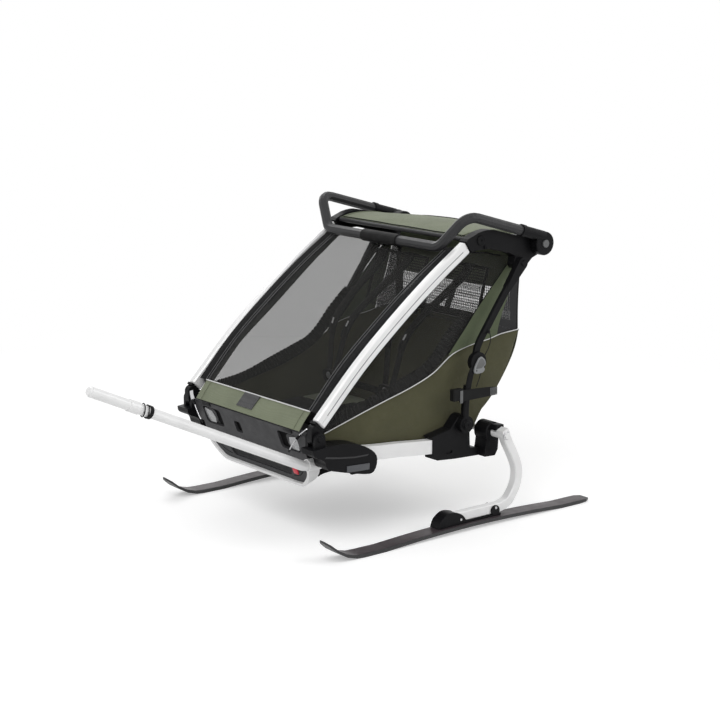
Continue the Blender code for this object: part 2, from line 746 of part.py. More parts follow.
def make_skis():
    count = 10
    arched = [SKI_FLAT + 2 * (SKI_MID - SKI_FLAT) * i / count for i in range(count + 1)]
    rows = [(y, ski_top(y) - SKI_THICK, SKI_THICK) for y in [0.0] + arched + [2 * SKI_MID]]
    rows.append((SKI_REAR, 0.004, 0.006))
    tip = [(-0.030, 0.0022, 0.010), (-0.065, 0.012, 0.009), (-0.100, 0.0325, 0.008),
           (SKI_TIP.x, SKI_TIP.y - 0.007, 0.007)]
    rows = tip[::-1] + rows
    under = [Vector((y, z)) for y, z, _ in rows]
    over = [Vector((y, z + t)) for y, z, t in rows]
    half = SKI_WIDE / 2
    ski = side_plate(under + over[::-1], SKI_X - half - 0.002, SKI_X + half + 0.002)
    waist = SKI_WIDE / 2 - 0.004
    nose = arc((0.0, SKI_TIP.x + half), half, 180, 360, 10)
    plan = ([Vector((half, 0.0)), Vector((waist, SKI_MID)), Vector((half - 0.001, SKI_REAR - 0.02)),
             Vector((half - 0.012, SKI_REAR)), Vector((-half + 0.012, SKI_REAR)),
             Vector((-half + 0.001, SKI_REAR - 0.02)), Vector((-waist, SKI_MID)),
             Vector((-half, 0.0))] + nose)
    outline = plate(plan, 0.4)
    outline.data.transform(Matrix.Translation((SKI_X, 0, 0)))
    use_tool(ski, outline, "INTERSECT")
    both_sides(ski, "ski", "ski")


# Foot-well panel, foot bar, reflectors and release button
def well_spot(up, set_back):
    """A (y, z) point so far up the leaning plane of the foot-well and so far behind it."""
    return (BAR_BOTTOM + Vector((-math.sin(LEAN), math.cos(LEAN))) * up
            + Vector((math.cos(LEAN), math.sin(LEAN))) * set_back)


def leaning(piece, set_back):
    """Lay a plate, drawn upright in local XY, into the leaning plane of the foot-well."""
    spot = at(0.0, well_spot(0.0, set_back))
    piece.data.transform(Matrix.Translation(spot)
                         @ Matrix.Rotation(math.radians(90) + LEAN, 4, "X"))
    return piece


def bar_line():
    half = BAR_THICK / 2
    right = smooth_line([(BAR_HALF + 0.004, BAR_RISE), (BAR_HALF - 0.010, BAR_RISE * 0.62),
                         (BAR_HALF - 0.038, BAR_RISE * 0.26), (BAR_FLAT + 0.020, half + 0.003),
                         (BAR_FLAT - 0.01, half)], 3)
    return right + [Vector((-p.x, p.y)) for p in right[::-1]]


def inner_edge():
    """The line just inside the foot bar, where the panel and the floor end."""
    return shifted(bar_line(), -BAR_THICK / 2 - GAP)


def socket_room():
    return cylinder(SOCKET_R + GAP, at(POLE_X, (SOCKET_FRONT - 0.05, SOCKET_Z)),
                    at(POLE_X, (SOCKET_FRONT + SOCKET_LONG + 0.02, SOCKET_Z)), 24)


def make_foot_bar():
    bar = leaning(plate(ribbon(bar_line(), BAR_THICK), BAR_DEEP, 0.003), BAR_DEEP / 2)
    keep(cut(bar, socket_room()), "front_foot_bar", "metal")


def make_well_panel():
    inner = inner_edge()
    half = POD_IN - GAP
    step = POLE_X - SOCKET_R * 0.6
    notch = inner[0].y + 0.002
    outline = ([Vector((-step, notch)), Vector((-step, WELL_SHOULDER)),
                Vector((-half, WELL_SHOULDER + 0.006)), Vector((-half, WELL_TOP - 0.012)),
                Vector((-half + 0.020, WELL_TOP)), Vector((half - 0.020, WELL_TOP)),
                Vector((half, WELL_TOP - 0.012)),
                Vector((half, WELL_SHOULDER + 0.006)), Vector((step, WELL_SHOULDER)),
                Vector((step, notch))] + inner)
    panel = plate(outline, WELL_THICK, 0.002, 1)
    front = WELL_THICK / 2
    for side in (-1, 1):
        pocket = plate(round_rect(side * (REFLECTOR_X - 0.014), 0.160, 0.100, 0.062, 0.012),
                       2 * POCKET_DEEP)
        pocket.data.transform(Matrix.Translation((0, 0, front)))
        cut(panel, pocket)
        lens = plate(round_rect(side * REFLECTOR_X, 0.160, REFLECTOR[0], REFLECTOR[1], 0.014),
                     0.008)
        lens.data.transform(Matrix.Translation((0, 0, front - POCKET_DEEP)))
        join(panel, lens)
    small = plate(round_rect(-0.070, 0.150, 0.034, 0.040, 0.006), 2 * POCKET_DEEP)
    small.data.transform(Matrix.Translation((0, 0, front)))
    cut(panel, small)
    lower = plate(round_rect(0.0, 0.058, 0.330, 0.060, 0.020), POCKET_DEEP)
    lower.data.transform(Matrix.Translation((0, 0, front)))
    cut(panel, lower)
    wide = BUTTON_SIZE[0] / 2
    tall = BUTTON_SIZE[1] / 2
    back = front - BUTTON_SIZE[2] + BUTTON_OUT
    cut(panel, block((BUTTON_X - wide - PLAY, BUTTON_UP - tall - PLAY, back - BUTTON_TRAVEL - PLAY),
                     (BUTTON_X + wide + PLAY, BUTTON_UP + tall + PLAY, front + 0.02)))
    set_back = WELL_SETBACK + WELL_THICK / 2
    for modifier in panel.modifiers:
        if modifier.type == "BOOLEAN":
            leaning(modifier.object, set_back)
    keep(cut(leaning(panel, set_back), socket_room()), "footwell_panel", "panel")

    button = block((BUTTON_X - wide, BUTTON_UP - tall, back),
                   (BUTTON_X + wide, BUTTON_UP + tall, front + BUTTON_OUT), 0.002, 2)
    keep(leaning(button, set_back), "release_button", "red")


# Tow pole
def pole_path():
    """The pole's centre line from its plug, up and forward to the outer section."""
    start = Vector((SOCKET_FRONT + PLUG_LONG, SOCKET_Z))
    corner = Vector((SOCKET_FRONT - POLE_BEND_AT, SOCKET_Z))
    ahead = Vector((-math.cos(POLE_SLOPE), math.sin(POLE_SLOPE)))
    return start, corner, corner + ahead * POLE_LONG, ahead


def make_tow_pole():
    start, corner, end, ahead = pole_path()
    rear = SOCKET_FRONT + SOCKET_LONG
    nose = [(SOCKET_R * math.cos(math.radians(a)), SOCKET_LONG - SOCKET_R * 0.6
             + SOCKET_R * 0.6 * math.sin(math.radians(a))) for a in (0, 22, 45, 67)]
    bore = POLE_R + PLAY
    bottom = PLUG_LONG + SOCKET_END
    socket = turned([(0.0, bottom), (bore, bottom), (bore, 0.0), (SOCKET_R, 0.0)] + nose
                    + [(0.0, SOCKET_LONG)],
                    at(POLE_X, (SOCKET_FRONT, SOCKET_Z)), at(POLE_X, (rear, SOCKET_Z)))
    keep(socket, "tow_socket", "metal")

    path = round_corners([at(POLE_X, start), at(POLE_X, corner), at(POLE_X, end)], POLE_BEND_R)
    pole = tube(path, POLE_R, 4)
    join(pole, cylinder(SPIGOT_R, at(POLE_X, end - ahead * 0.01),
                        at(POLE_X, end + ahead * SPIGOT_LONG), 20))
    keep(pole, "tow_pole", "metal")

    foot = end + ahead * PLAY
    tip = foot + ahead * OUTER_LONG
    outer = cylinder(POLE_R, at(POLE_X, foot), at(POLE_X, tip), 20)
    join(outer, cylinder(POLE_R + 0.0025, at(POLE_X, foot + ahead * 0.012),
                         at(POLE_X, foot + ahead * (0.012 + FERRULE_LONG)), 20))
    cut(outer, cylinder(SPIGOT_R + PLAY, at(POLE_X, foot - ahead * 0.01),
                        at(POLE_X, foot + ahead * (SPIGOT_LONG + 0.004)), 20))
    join(outer, cylinder(POLE_R - 0.001, at(POLE_X, tip - ahead * 0.002),
                         at(POLE_X, tip + ahead * END_PLUG), 20, END_PLUG_R))
    keep(outer, "tow_pole_outer", "metal")

    ring = turned([(POLE_R + GAP, 0.0), (POLE_R + 0.004, 0.0), (POLE_R + 0.004, STRAP_WIDE),
                   (POLE_R + GAP, STRAP_WIDE)],
                  at(POLE_X, end - ahead * 0.030), at(POLE_X, end - ahead * 0.010), ring=True)
    keep(ring, "tow_pole_strap", "plastic")


# Top beams, uprights and latches
def make_beams():
    end = arch_curve[-1]
    side = across(arch_curve, len(arch_curve) - 1)
    along = Vector((side.y, -side.x))
    half = ARCH_DEEP / 2
    start = end + along * GAP
    h = UPRIGHT_HEAD
    outline = ([start - side * half, start + side * half, start + side * (half + 0.002)
                + along * 0.012]
               + smooth_line([start + Vector((0.020, 0.038)), start + Vector((0.078, 0.048)),
                              start + Vector((0.125, 0.041)), start + Vector((0.196, 0.022)),
                              HUB + Vector((-0.030, 0.030))], 3)[1:]
               + arc(HUB, HUB_R - 0.002, 115, -80, 10)
               + [HUB + Vector((-0.025, -0.047)), HUB + Vector((-0.043, -0.063))]
               + arc(h, HEAD_R + 0.003, -60, -170, 6)
               + [h + Vector((-0.016, 0.021)), h + Vector((-0.045, 0.035)),
                  start + Vector((0.085, -0.012)), start + Vector((0.032, -0.013))])
    beam = side_plate(outline, BEAM_IN, UPRIGHT_IN - PLAY, 0.005)
    join(beam, cylinder(PIN_R, at(UPRIGHT_IN - 0.01, h), at(UPRIGHT_OUT + PLAY + 0.002, h), 16))
    join(beam, cylinder(PIN_HEAD_R, at(UPRIGHT_OUT + PLAY, h),
                        at(UPRIGHT_OUT + PLAY + PIN_HEAD, h), 20, PIN_HEAD_R - 0.002))
    cut(beam, cylinder(HUB_CORE_R + GAP, at(ARCH_X, HUB), at(UPRIGHT_OUT, HUB), 20))
    both_sides(beam, "top_beam", "plastic", "upper_frame")


def make_uprights():
    middle = UPRIGHT_IN + KNEE_SPLIT
    lower_line = smooth_line([UPRIGHT_FOOT, UPRIGHT_FOOT + Vector((0.001, 0.070)),
                              UPRIGHT_FOOT + Vector((0.0175, 0.158)), KNEE], 3)
    lower = side_plate(ribbon(lower_line, LOWER_WIDE), UPRIGHT_IN, UPRIGHT_OUT, 0.004)
    join(lower, side_plate(disc(UPRIGHT_FOOT, FOOT_R), UPRIGHT_IN, UPRIGHT_OUT))
    join(lower, side_plate(disc(KNEE, KNEE_R), middle + PLAY / 2, UPRIGHT_OUT))
    inner_room = block((UPRIGHT_IN - 0.01, KNEE.x - 0.10, KNEE.y - LAP_BELOW),
                       (middle + PLAY / 2, KNEE.x + 0.10, KNEE.y + 0.08))
    cut(lower, inner_room)
    cut(lower, cylinder(PIN_R + GAP, at(UPRIGHT_IN - 0.01, UPRIGHT_FOOT),
                        at(UPRIGHT_OUT + 0.01, UPRIGHT_FOOT), 16))
    cut(lower, cylinder(PIN_R + GAP, at(middle + 0.003, KNEE), at(UPRIGHT_OUT + 0.01, KNEE), 16))
    both_sides(lower, "lower_upright", "plastic", "upright_foot_axis")

    upper_line = smooth_line([KNEE, KNEE + Vector((0.002, 0.046)), KNEE + Vector((0.053, 0.123)),
                              UPRIGHT_HEAD + Vector((-0.058, -0.072)), UPRIGHT_HEAD], 3)
    upper = side_plate(ribbon(upper_line, UPPER_WIDE), UPRIGHT_IN, UPRIGHT_OUT, 0.004)
    taper = hull_of_discs(UPRIGHT_HEAD, HEAD_R, upper_line[-4], UPPER_WIDE / 2 - 0.001)
    join(upper, side_plate(taper, UPRIGHT_IN, UPRIGHT_OUT))
    join(upper, side_plate(disc(KNEE, KNEE_R - 0.002), UPRIGHT_IN, middle - PLAY / 2))
    outer_room = block((middle - PLAY / 2, KNEE.x - 0.10, KNEE.y - 0.08),
                       (UPRIGHT_OUT + 0.01, KNEE.x + 0.12, KNEE.y + LAP_ABOVE))
    cut(upper, outer_room)
    cut(upper, cylinder(PIN_R + GAP, at(UPRIGHT_IN - 0.01, UPRIGHT_HEAD),
                        at(UPRIGHT_OUT + 0.01, UPRIGHT_HEAD), 16))
    both_sides(upper, "upper_upright", "plastic", "upright_head_axis")

    face = UPRIGHT_OUT + PLAY
    rim = [(0.007, 0.0175), (-0.0026, 0.0138), (-0.0104, 0.0038), (-0.0167, -0.0064),
           (-0.0219, -0.018), (-0.0227, -0.0301), (-0.0113, -0.0353), (0.0129, -0.0337),
           (0.0208, -0.0237), (0.0156, -0.0167), (0.0208, -0.0135), (0.0246, -0.0057),
           (0.0202, 0.0072), (0.007, 0.0175)]
    outline = smooth_line([KNEE + Vector(spot) for spot in rim], 2)[:-1]
    latch = side_plate(outline, face, face + LATCH_THICK, 0.0015)
    join(latch, cylinder(PIN_R, at(middle + 0.004, KNEE), at(face + 0.001, KNEE), 16))
    cut(latch, cylinder(LATCH_HOLE_R, at(face + 0.002, KNEE + LATCH_HOLE),
                        at(face + 0.02, KNEE + LATCH_HOLE), 12))
    both_sides(latch, "fold_latch", "grey", "knee_axis")

    spot = lower_line[STRAP_AT]
    face = UPRIGHT_OUT + GAP
    band = [(-0.040, -0.0225), (0.0, -0.0205), (0.088, -0.0195), (0.110, -0.0185),
            (0.118, -0.013), (0.119, -0.003), (0.112, 0.007), (0.088, 0.010), (0.0, 0.0145),
            (-0.040, 0.0155)]
    strap = side_plate([spot + Vector(corner) for corner in band], face, face + STRAP_BAND,
                       0.001, 1)
    join(strap, block((UPRIGHT_IN + 0.002, spot.x + STRAP_BLOCK[0], spot.y - 0.018),
                      (face + 0.0035, spot.x + STRAP_BLOCK[1], spot.y + 0.020), 0.003))
    both_sides(strap, "upright_strap", "plastic", "upright_foot_axis")


# Roof, cross tubes and handlebar
def make_roof():
    """A sheet that hangs between the two beams: highest in the middle, low where it is sewn."""
    hem = roof_tube_spot + Vector((-0.001, ROOF_TUBE_R + GAP + FABRIC / 2))
    crown = smooth_line([hem] + [Vector(p) for p in ROOF_CROWN], 2)
    side = smooth_line([hem] + [Vector(p) for p in ROOF_SIDE], 2)
    cells = 14
    shape = bmesh.new()
    bmesh.ops.create_grid(shape, x_segments=cells, y_segments=len(crown) - 1, size=0.5)
    half = BEAM_IN - GAP - SKEW
    for vertex in shape.verts:
        u = 2 * vertex.co.x
        row = round((vertex.co.y + 0.5) * (len(crown) - 1))
        place = side[row].lerp(crown[row], 1 - abs(u) ** 2.5)
        vertex.co = Vector((u * half, place.x, place.y))
    roof = from_bmesh(shape)
    shell = roof.modifiers.new("cloth", "SOLIDIFY")
    shell.thickness = FABRIC
    shell.offset = 0
    keep(roof, "roof_canopy", "sage", "upper_frame")


def make_cross_tubes():
    reach = BEAM_IN - GAP
    keep(cylinder(ROOF_TUBE_R, at(-reach, roof_tube_spot), at(reach, roof_tube_spot), 16),
         "roof_front_tube", "bar", "upper_frame")
    keep(cylinder(HUB_TUBE_R, at(-reach, HUB), at(reach, HUB), 16), "hub_cross_tube", "bar",
         "upper_frame")


def make_handlebar():
    slope = (COLLAR - UPPER_BEND).normalized()
    sunk = COLLAR + slope * BAR_SUNK
    corners = [at(BAR_X, sunk), at(BAR_X, UPPER_BEND), at(LOWER_BEND_X, LOWER_BEND),
               at(-LOWER_BEND_X, LOWER_BEND), at(-BAR_X, UPPER_BEND), at(-BAR_X, sunk)]
    keep(tube(round_corners(corners, BEND_R, 6), BAR_R, 3), "handlebar_tube", "bar",
         "handlebar_axis")
    low = at(-GRIP_HALF, LOWER_BEND)
    high = at(GRIP_HALF, LOWER_BEND)
    bore = BAR_R + GAP
    grip = turned([(bore, 0.0), (GRIP_R - 0.002, 0.0), (GRIP_R, 0.002),
                   (GRIP_R, 2 * GRIP_HALF - 0.002), (GRIP_R - 0.002, 2 * GRIP_HALF),
                   (bore, 2 * GRIP_HALF)], low, high, 20, ring=True)
    keep(grip, "handlebar_grip", "plastic", "handlebar_axis")

    knuckle = cylinder(HUB_R, at(UPRIGHT_IN, HUB), at(HUB_FACE, HUB), 28)
    round_edges(knuckle, 0.003, 2, 60)
    neck_end = HUB + Vector((0, NECK_END))
    join(knuckle, cylinder(NECK_R, at(BAR_X, COLLAR), at(BAR_X, neck_end), 24))
    join(knuckle, cylinder(RING_R, at(BAR_X, COLLAR), at(BAR_X, COLLAR + slope * RING_LONG), 24))
    cut(knuckle, cylinder(BAR_R + GAP, at(BAR_X, COLLAR - slope * 0.02),
                          at(BAR_X, sunk + slope * GAP), 20))
    join(knuckle, cylinder(HUB_CORE_R, at(ARCH_X + PLAY, HUB), at(UPRIGHT_IN + 0.002, HUB), 20))
    cut(knuckle, cylinder(HUB_BUTTON_R + GAP, at(HUB_FACE - 0.014, HUB),
                          at(HUB_FACE + 0.01, HUB), 20))
    both_sides(knuckle, "handlebar_knuckle", "plastic", "handlebar_axis")
    button = cylinder(HUB_BUTTON_R, at(HUB_FACE - 0.009, HUB),
                      at(HUB_FACE + HUB_BUTTON_OUT, HUB), 20)
    both_sides(button, "hub_button", "grey", "handlebar_axis")


# Cabin fabric and seats
def sheet(line, half, thickness):
    """A thin sheet that follows a (y, z) line across the trailer."""
    return side_plate(ribbon(line, thickness), -half, half)


def make_cabin():
    inside = PANEL_X - FABRIC - GAP
    floor_start = well_spot(FLOOR_UP, WELL_SETBACK + WELL_THICK + GAP + SKEW)
    floor_line = smooth_line([floor_start] + [Vector(p) for p in FLOOR_LINE], 2)
    floor_line.append(Vector((FLOOR_REAR, FLOOR_Z)))
    cabin_floor = sheet(floor_line, inside, FABRIC)
    wide = BAR_HALF + 0.1
    beside = plate(inner_edge() + [Vector((-wide, BAR_RISE)), Vector((-wide, -0.05)),
                                   Vector((wide, -0.05)), Vector((wide, BAR_RISE))],
                   BAR_DEEP + 0.02)
    cut(cabin_floor, leaning(beside, BAR_DEEP / 2))
    keep(cabin_floor, "cabin_floor", "cloth")
    keep(sheet(smooth_line(REAR_LINE, 2), inside, FABRIC), "rear_panel", "olive")

    arch_under = shifted(arch_curve, -ARCH_DEEP / 2 - 0.004)
    if arch_under[3].y > arch_curve[3].y:
        arch_under = shifted(arch_curve, ARCH_DEEP / 2 + 0.004)
    rear = smooth_line(REAR_LINE, 2)
    outline = (arch_under[2:-1] + [UPRIGHT_HEAD + Vector((-0.030, 0.022))]
               + [p + Vector((0.0015, 0)) for p in rear]
               + [p - Vector((0, 0.0015)) for p in floor_line[::-1] if p.x > 0.045]
               + [Vector((0.000, 0.300))])
    side = side_plate(outline, PANEL_X - FABRIC, PANEL_X)
    both_sides(side, "side_panel", "olive")

    window_line = smooth_line(WINDOW_LINE, 3)
    onward_low = (window_line[1] - window_line[0]).normalized()
    keep(sheet(window_line, WINDOW_HALF, FILM), "front_window", "film", "upper_frame")
    onward = (window_line[-1] - window_line[-2]).normalized()
    border = sheet(window_line + [window_line[-1] + onward * BORDER_TOP], ARCH_IN - GAP, 0.004)
    opening = [window_line[0] - onward * 0.02] + window_line + [window_line[-1] + onward * GAP]
    cut(border, side_plate(ribbon(opening, 0.03), -WINDOW_HALF - GAP, WINDOW_HALF + GAP))
    keep(border, "window_border", "cloth", "upper_frame")
    seat = well_spot(WELL_TOP + GAP + FABRIC / 2, WELL_SETBACK + WELL_THICK / 2)
    strip = [seat, window_line[0] - onward_low * (GAP + SKEW)]
    keep(sheet(strip, WINDOW_HALF - 0.008, FABRIC), "front_cover_strip", "sage", "upper_frame")


def cushion(half_x, length, thick, flat_below, cells=(8, 6), crown=0.4, pull=0.03):
    """A crowned pad whose sides draw in between its corners, flat below where it lies on a floor."""
    shape = bmesh.new()
    grid = {}
    for i in range(cells[0] + 1):
        for j in range(cells[1] + 1):
            u = 2 * i / cells[0] - 1
            v = 2 * j / cells[1] - 1
            x = u * half_x * (1 - pull * (1 - v * v))
            y = v * length / 2 * (1 - pull * (1 - u * u))
            swell = (1 - u ** 4) * (1 - v ** 4)
            grid[i, j] = (x, y, thick / 2 * ((1 - crown) + crown * swell))
    top = {}
    low = {}
    for key, (x, y, z) in grid.items():
        top[key] = shape.verts.new((x, y, z))
        low[key] = shape.verts.new((x, y, -thick / 2 if flat_below else -z))
    for i in range(cells[0]):
        for j in range(cells[1]):
            ring = [(i, j), (i + 1, j), (i + 1, j + 1), (i, j + 1)]
            shape.faces.new([top[k] for k in ring])
            shape.faces.new([low[k] for k in ring[::-1]])
    rim = ([(i, 0) for i in range(cells[0])] + [(cells[0], j) for j in range(cells[1])]
           + [(i, cells[1]) for i in range(cells[0], 0, -1)] + [(0, j) for j in range(cells[1], 0, -1)])
    for here, there in zip(rim, rim[1:] + rim[:1]):
        shape.faces.new([low[here], low[there], top[there], top[here]])
    return from_bmesh(shape)


def make_seats():
    back_long = (BACK_TOP - BACK_FOOT).length
    tilt = math.atan2(BACK_TOP.y - BACK_FOOT.y, BACK_TOP.x - BACK_FOOT.x)
    seat = cushion(SEAT_HALF, SEAT_REAR - SEAT_FRONT, SEAT_TALL, True)
    rise = FLOOR_Z + FABRIC / 2 + SEAT_TALL / 2 + GAP
    seat.data.transform(Matrix.Translation((SEAT_X, (SEAT_FRONT + SEAT_REAR) / 2, rise)))
    both_sides(seat, "seat_cushion", "cloth")
    back = cushion(SEAT_HALF, back_long, BACK_THICK, False)
    middle = (BACK_TOP + BACK_FOOT) / 2
    back.data.transform(Matrix.Translation((SEAT_X, middle.x, middle.y))
                        @ Matrix.Rotation(tilt, 4, "X"))
    both_sides(back, "seat_back", "cloth")

    up = (BACK_TOP - BACK_FOOT).normalized()
    ahead = Vector((-up.y, up.x))
    top = BACK_TOP + up * (STRAP_THICK / 2 + GAP)
    line = smooth_line([top - ahead * 0.010, top + ahead * 0.008, top + ahead * 0.021 - up * 0.007,
                        BACK_TOP + ahead * 0.027 - up * 0.045,
                        BUCKLE + Vector((0.060, 0.190)), BUCKLE + Vector((0.006, 0.020)), BUCKLE], 3)
    harness = block((SEAT_X - BUCKLE_HALF, BUCKLE.x - 0.006, BUCKLE.y - 0.018),
                    (SEAT_X + BUCKLE_HALF, BUCKLE.x + 0.006, BUCKLE.y + 0.018), 0.003)
    for side in (-1, 1):
        strap = side_plate(ribbon(line, STRAP_THICK), -HARNESS_WIDE / 2, HARNESS_WIDE / 2)
        spread = side * (HARNESS_SPREAD / (BACK_TOP.y - BUCKLE.y))
        shear = Matrix.Identity(4)
        shear[0][2] = spread
        shear[0][3] = SEAT_X + side * (HARNESS_WIDE / 2 + 0.001) - spread * BUCKLE.y
        strap.data.transform(shear)
        join(harness, strap)
    seat_top = rise + SEAT_TALL / 2
    rest = seat_top + STRAP_THICK / 2 + GAP
    tail = [BUCKLE, BUCKLE + Vector((0.003, -0.035)), Vector((BUCKLE.x + 0.010, rest + 0.010)),
            Vector((BUCKLE.x + 0.024, rest)), Vector((BUCKLE.x + 0.050, rest))]
    join(harness, side_plate(ribbon(tail, STRAP_THICK), SEAT_X - HARNESS_WIDE / 2,
                             SEAT_X + HARNESS_WIDE / 2))
    both_sides(harness, "harness", "cloth")


make_arches()
make_pods()
make_arch_bolts()
make_rails()
make_castings()
make_axle()
make_ski_arms()
make_ski_mounts()
make_skis()
make_foot_bar()
make_well_panel()
make_tow_pole()
make_beams()
make_uprights()
make_cross_tubes()
make_roof()
make_handlebar()
make_cabin()
make_seats()
smooth_all()
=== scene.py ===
"""Dressed scene of the two-seat child trailer on skis.

Lengths are in metres. Places are written as (x, y, z) or (y, z) from the line where the skis' front
ends touch the snow; place() and at() carry them into the shared frame. The two sides mirror each
other, and sign is +1 on the left.
"""
import json
import math

import bmesh
import bpy
from mathutils import Matrix, Vector, noise


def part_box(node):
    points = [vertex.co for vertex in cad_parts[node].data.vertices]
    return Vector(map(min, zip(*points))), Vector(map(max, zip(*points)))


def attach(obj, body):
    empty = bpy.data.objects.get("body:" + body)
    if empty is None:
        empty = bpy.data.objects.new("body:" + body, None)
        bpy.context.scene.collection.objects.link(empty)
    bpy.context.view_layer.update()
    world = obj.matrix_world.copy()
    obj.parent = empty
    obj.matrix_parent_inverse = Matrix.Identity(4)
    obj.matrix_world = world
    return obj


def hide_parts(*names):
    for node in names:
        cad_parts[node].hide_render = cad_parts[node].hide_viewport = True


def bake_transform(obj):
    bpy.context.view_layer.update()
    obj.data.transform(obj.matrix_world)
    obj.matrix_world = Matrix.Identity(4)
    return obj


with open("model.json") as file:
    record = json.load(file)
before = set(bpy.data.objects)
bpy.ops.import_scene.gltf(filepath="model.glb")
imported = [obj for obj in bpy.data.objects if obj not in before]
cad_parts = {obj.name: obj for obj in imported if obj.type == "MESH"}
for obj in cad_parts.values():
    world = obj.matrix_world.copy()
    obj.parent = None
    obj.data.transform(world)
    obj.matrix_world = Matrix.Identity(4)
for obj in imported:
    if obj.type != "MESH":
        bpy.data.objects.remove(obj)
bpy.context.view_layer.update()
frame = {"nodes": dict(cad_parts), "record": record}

SHIFT_Y = -0.064327
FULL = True
SIDES = (("left", 1), ("right", -1))
SOFT = "soft"  # stands for a piece between the base and the folding frame that rides on no body
UPPER = "upper_frame"

# Lines of the frame and of the cabin (y, z)
ARCH_LINE = [(-0.076, 0.392), (0.075, 0.545), (0.212, 0.663), (0.360, 0.778), (0.499, 0.873)]
WINDOW_LINE = [(-0.062, 0.421), (0.050, 0.543), (0.187, 0.661), (0.327, 0.768), (0.462, 0.858)]
WINDOW_BEHIND = [(-0.042, 0.386), (0.030, 0.465), (0.092, 0.530), (0.229, 0.638), (0.388, 0.765),
                 (0.495, 0.842)]
REAR_LINE = [(0.762, 0.805), (0.753, 0.745), (0.751, 0.650), (0.754, 0.575), (0.731, 0.500),
             (0.667, 0.402), (0.620, 0.352), (0.560, 0.305), (0.548, 0.268)]
REAR_TOP_LINE = [(0.752, 0.702), (0.757, 0.760), (0.764, 0.805), (0.770, 0.850), (0.771, 0.8785)]
REAR_EDGE = [(0.752, 0.580), (0.751, 0.620), (0.751, 0.660), (0.752, 0.700), (0.755, 0.745),
             (0.760, 0.800)]
ROOF_CROWN = [(0.510, 0.9028), (0.520, 0.905), (0.565, 0.913), (0.640, 0.917), (0.720, 0.911),
              (0.770, 0.903)]
ROOF_SIDE = [(0.510, 0.9028), (0.520, 0.904), (0.565, 0.911), (0.640, 0.910), (0.720, 0.893),
             (0.770, 0.882)]
FILM_LOW = [(-0.030, 0.357), (0.050, 0.380), (0.127, 0.402), (0.200, 0.422), (0.257, 0.438),
            (0.337, 0.458), (0.391, 0.483), (0.446, 0.523), (0.506, 0.588), (0.570, 0.654),
            (0.642, 0.726), (0.690, 0.775), (0.728, 0.820)]
FILM_HIGH = [(-0.040, 0.388), (0.030, 0.465), (0.092, 0.530), (0.160, 0.585), (0.229, 0.638),
             (0.310, 0.703), (0.388, 0.765), (0.440, 0.802), (0.495, 0.842), (0.540, 0.850),
             (0.600, 0.845), (0.660, 0.832), (0.716, 0.826)]
GATHER_OUTER = [(-0.033, 0.357), (0.095, 0.389), (0.251, 0.426), (0.362, 0.467), (0.412, 0.497),
                (0.449, 0.536), (0.506, 0.593), (0.557, 0.651)]
GATHER_INNER = [(-0.036, 0.404), (0.090, 0.422), (0.215, 0.463), (0.312, 0.495), (0.352, 0.510),
                (0.392, 0.540), (0.450, 0.603), (0.518, 0.664)]
BAND_FRONT = [(0.449, 0.530), (0.506, 0.593), (0.557, 0.651), (0.633, 0.731), (0.680, 0.779),
              (0.720, 0.819)]
BAND_REAR = [(0.657, 0.566), (0.669, 0.613), (0.688, 0.660), (0.704, 0.694), (0.722, 0.755),
             (0.738, 0.810)]
PIPE_LINE = [(-0.035, 0.355), (0.010, 0.368), (0.065, 0.384), (0.127, 0.402), (0.200, 0.422),
             (0.300, 0.449), (0.391, 0.483), (0.470, 0.533), (0.560, 0.556), (0.616, 0.562),
             (0.670, 0.573), (0.712, 0.577), (0.7535, 0.580)]
SIDE_FOOT = [(-0.030, 0.332), (0.010, 0.296), (0.060, 0.256), (0.127, 0.2625), (0.200, 0.2625),
             (0.300, 0.2625), (0.391, 0.2625), (0.470, 0.2625), (0.545, 0.2625), (0.600, 0.335),
             (0.655, 0.388), (0.712, 0.472), (0.7535, 0.573)]

# Planes across the trailer
SIDE_X = 0.3085       # the side cloths
REAR_HALF = 0.3045    # the rear cloths
WINDOW_HALF = 0.2872  # the window's film
ROOF_HALF = 0.3165
STRAP_X = 0.3768      # outer face of the upright's rubber strap
SEAT_X = 0.148        # middle of a seat
SKI_X = 0.435         # middle of a ski

# Thickness of the cloths
SHELL_THICK = 0.0014
NET_THICK = 0.0006

# The window faces this way; the seat backs lean this way
WINDOW_OUT = Vector((0.0, -0.64, 0.77))
BACK_UP = Vector((0, 0.148, 0.524)).normalized()

# The front panel's plane: its foot, and how far it leans
PANEL_FOOT = (-0.0325, 0.1678)
PANEL_LEAN = math.atan(0.38)


def place(x, y, z):
    return Vector((x, y + SHIFT_Y, z))


def at(x, yz):
    return place(x, yz[0], yz[1])


def on_panel(x, up, out=0.0):
    """A place on the front panel: across, up its leaning face, and out from it."""
    lean, rise = math.sin(PANEL_LEAN), math.cos(PANEL_LEAN)
    return place(x, PANEL_FOOT[0] - lean * up - rise * out,
                 PANEL_FOOT[1] + rise * up - lean * out)


def smooth(points, steps=6):
    """Points on a smooth curve through the given ones."""
    knots = [Vector(p) for p in points]
    knots = [2 * knots[0] - knots[1]] + knots + [2 * knots[-1] - knots[-2]]
    line = []
    for a, b, c, d in zip(knots, knots[1:], knots[2:], knots[3:]):
        for step in range(steps):
            t = step / steps
            line.append(0.5 * (2 * b + (c - a) * t + (2 * a - 5 * b + 4 * c - d) * t ** 2
                               + (3 * b - 3 * c + d - a) * t ** 3))
    line.append(knots[-2])
    return line


def spread(line, count):
    """A line cut anew into equal steps."""
    lengths = [0.0]
    for a, b in zip(line, line[1:]):
        lengths.append(lengths[-1] + (b - a).length)
    made = []
    index = 0
    for step in range(count + 1):
        want = lengths[-1] * step / count
        while index < len(line) - 2 and lengths[index + 1] < want:
            index += 1
        span = lengths[index + 1] - lengths[index]
        made.append(line[index].lerp(line[index + 1], (want - lengths[index]) / span))
    return made


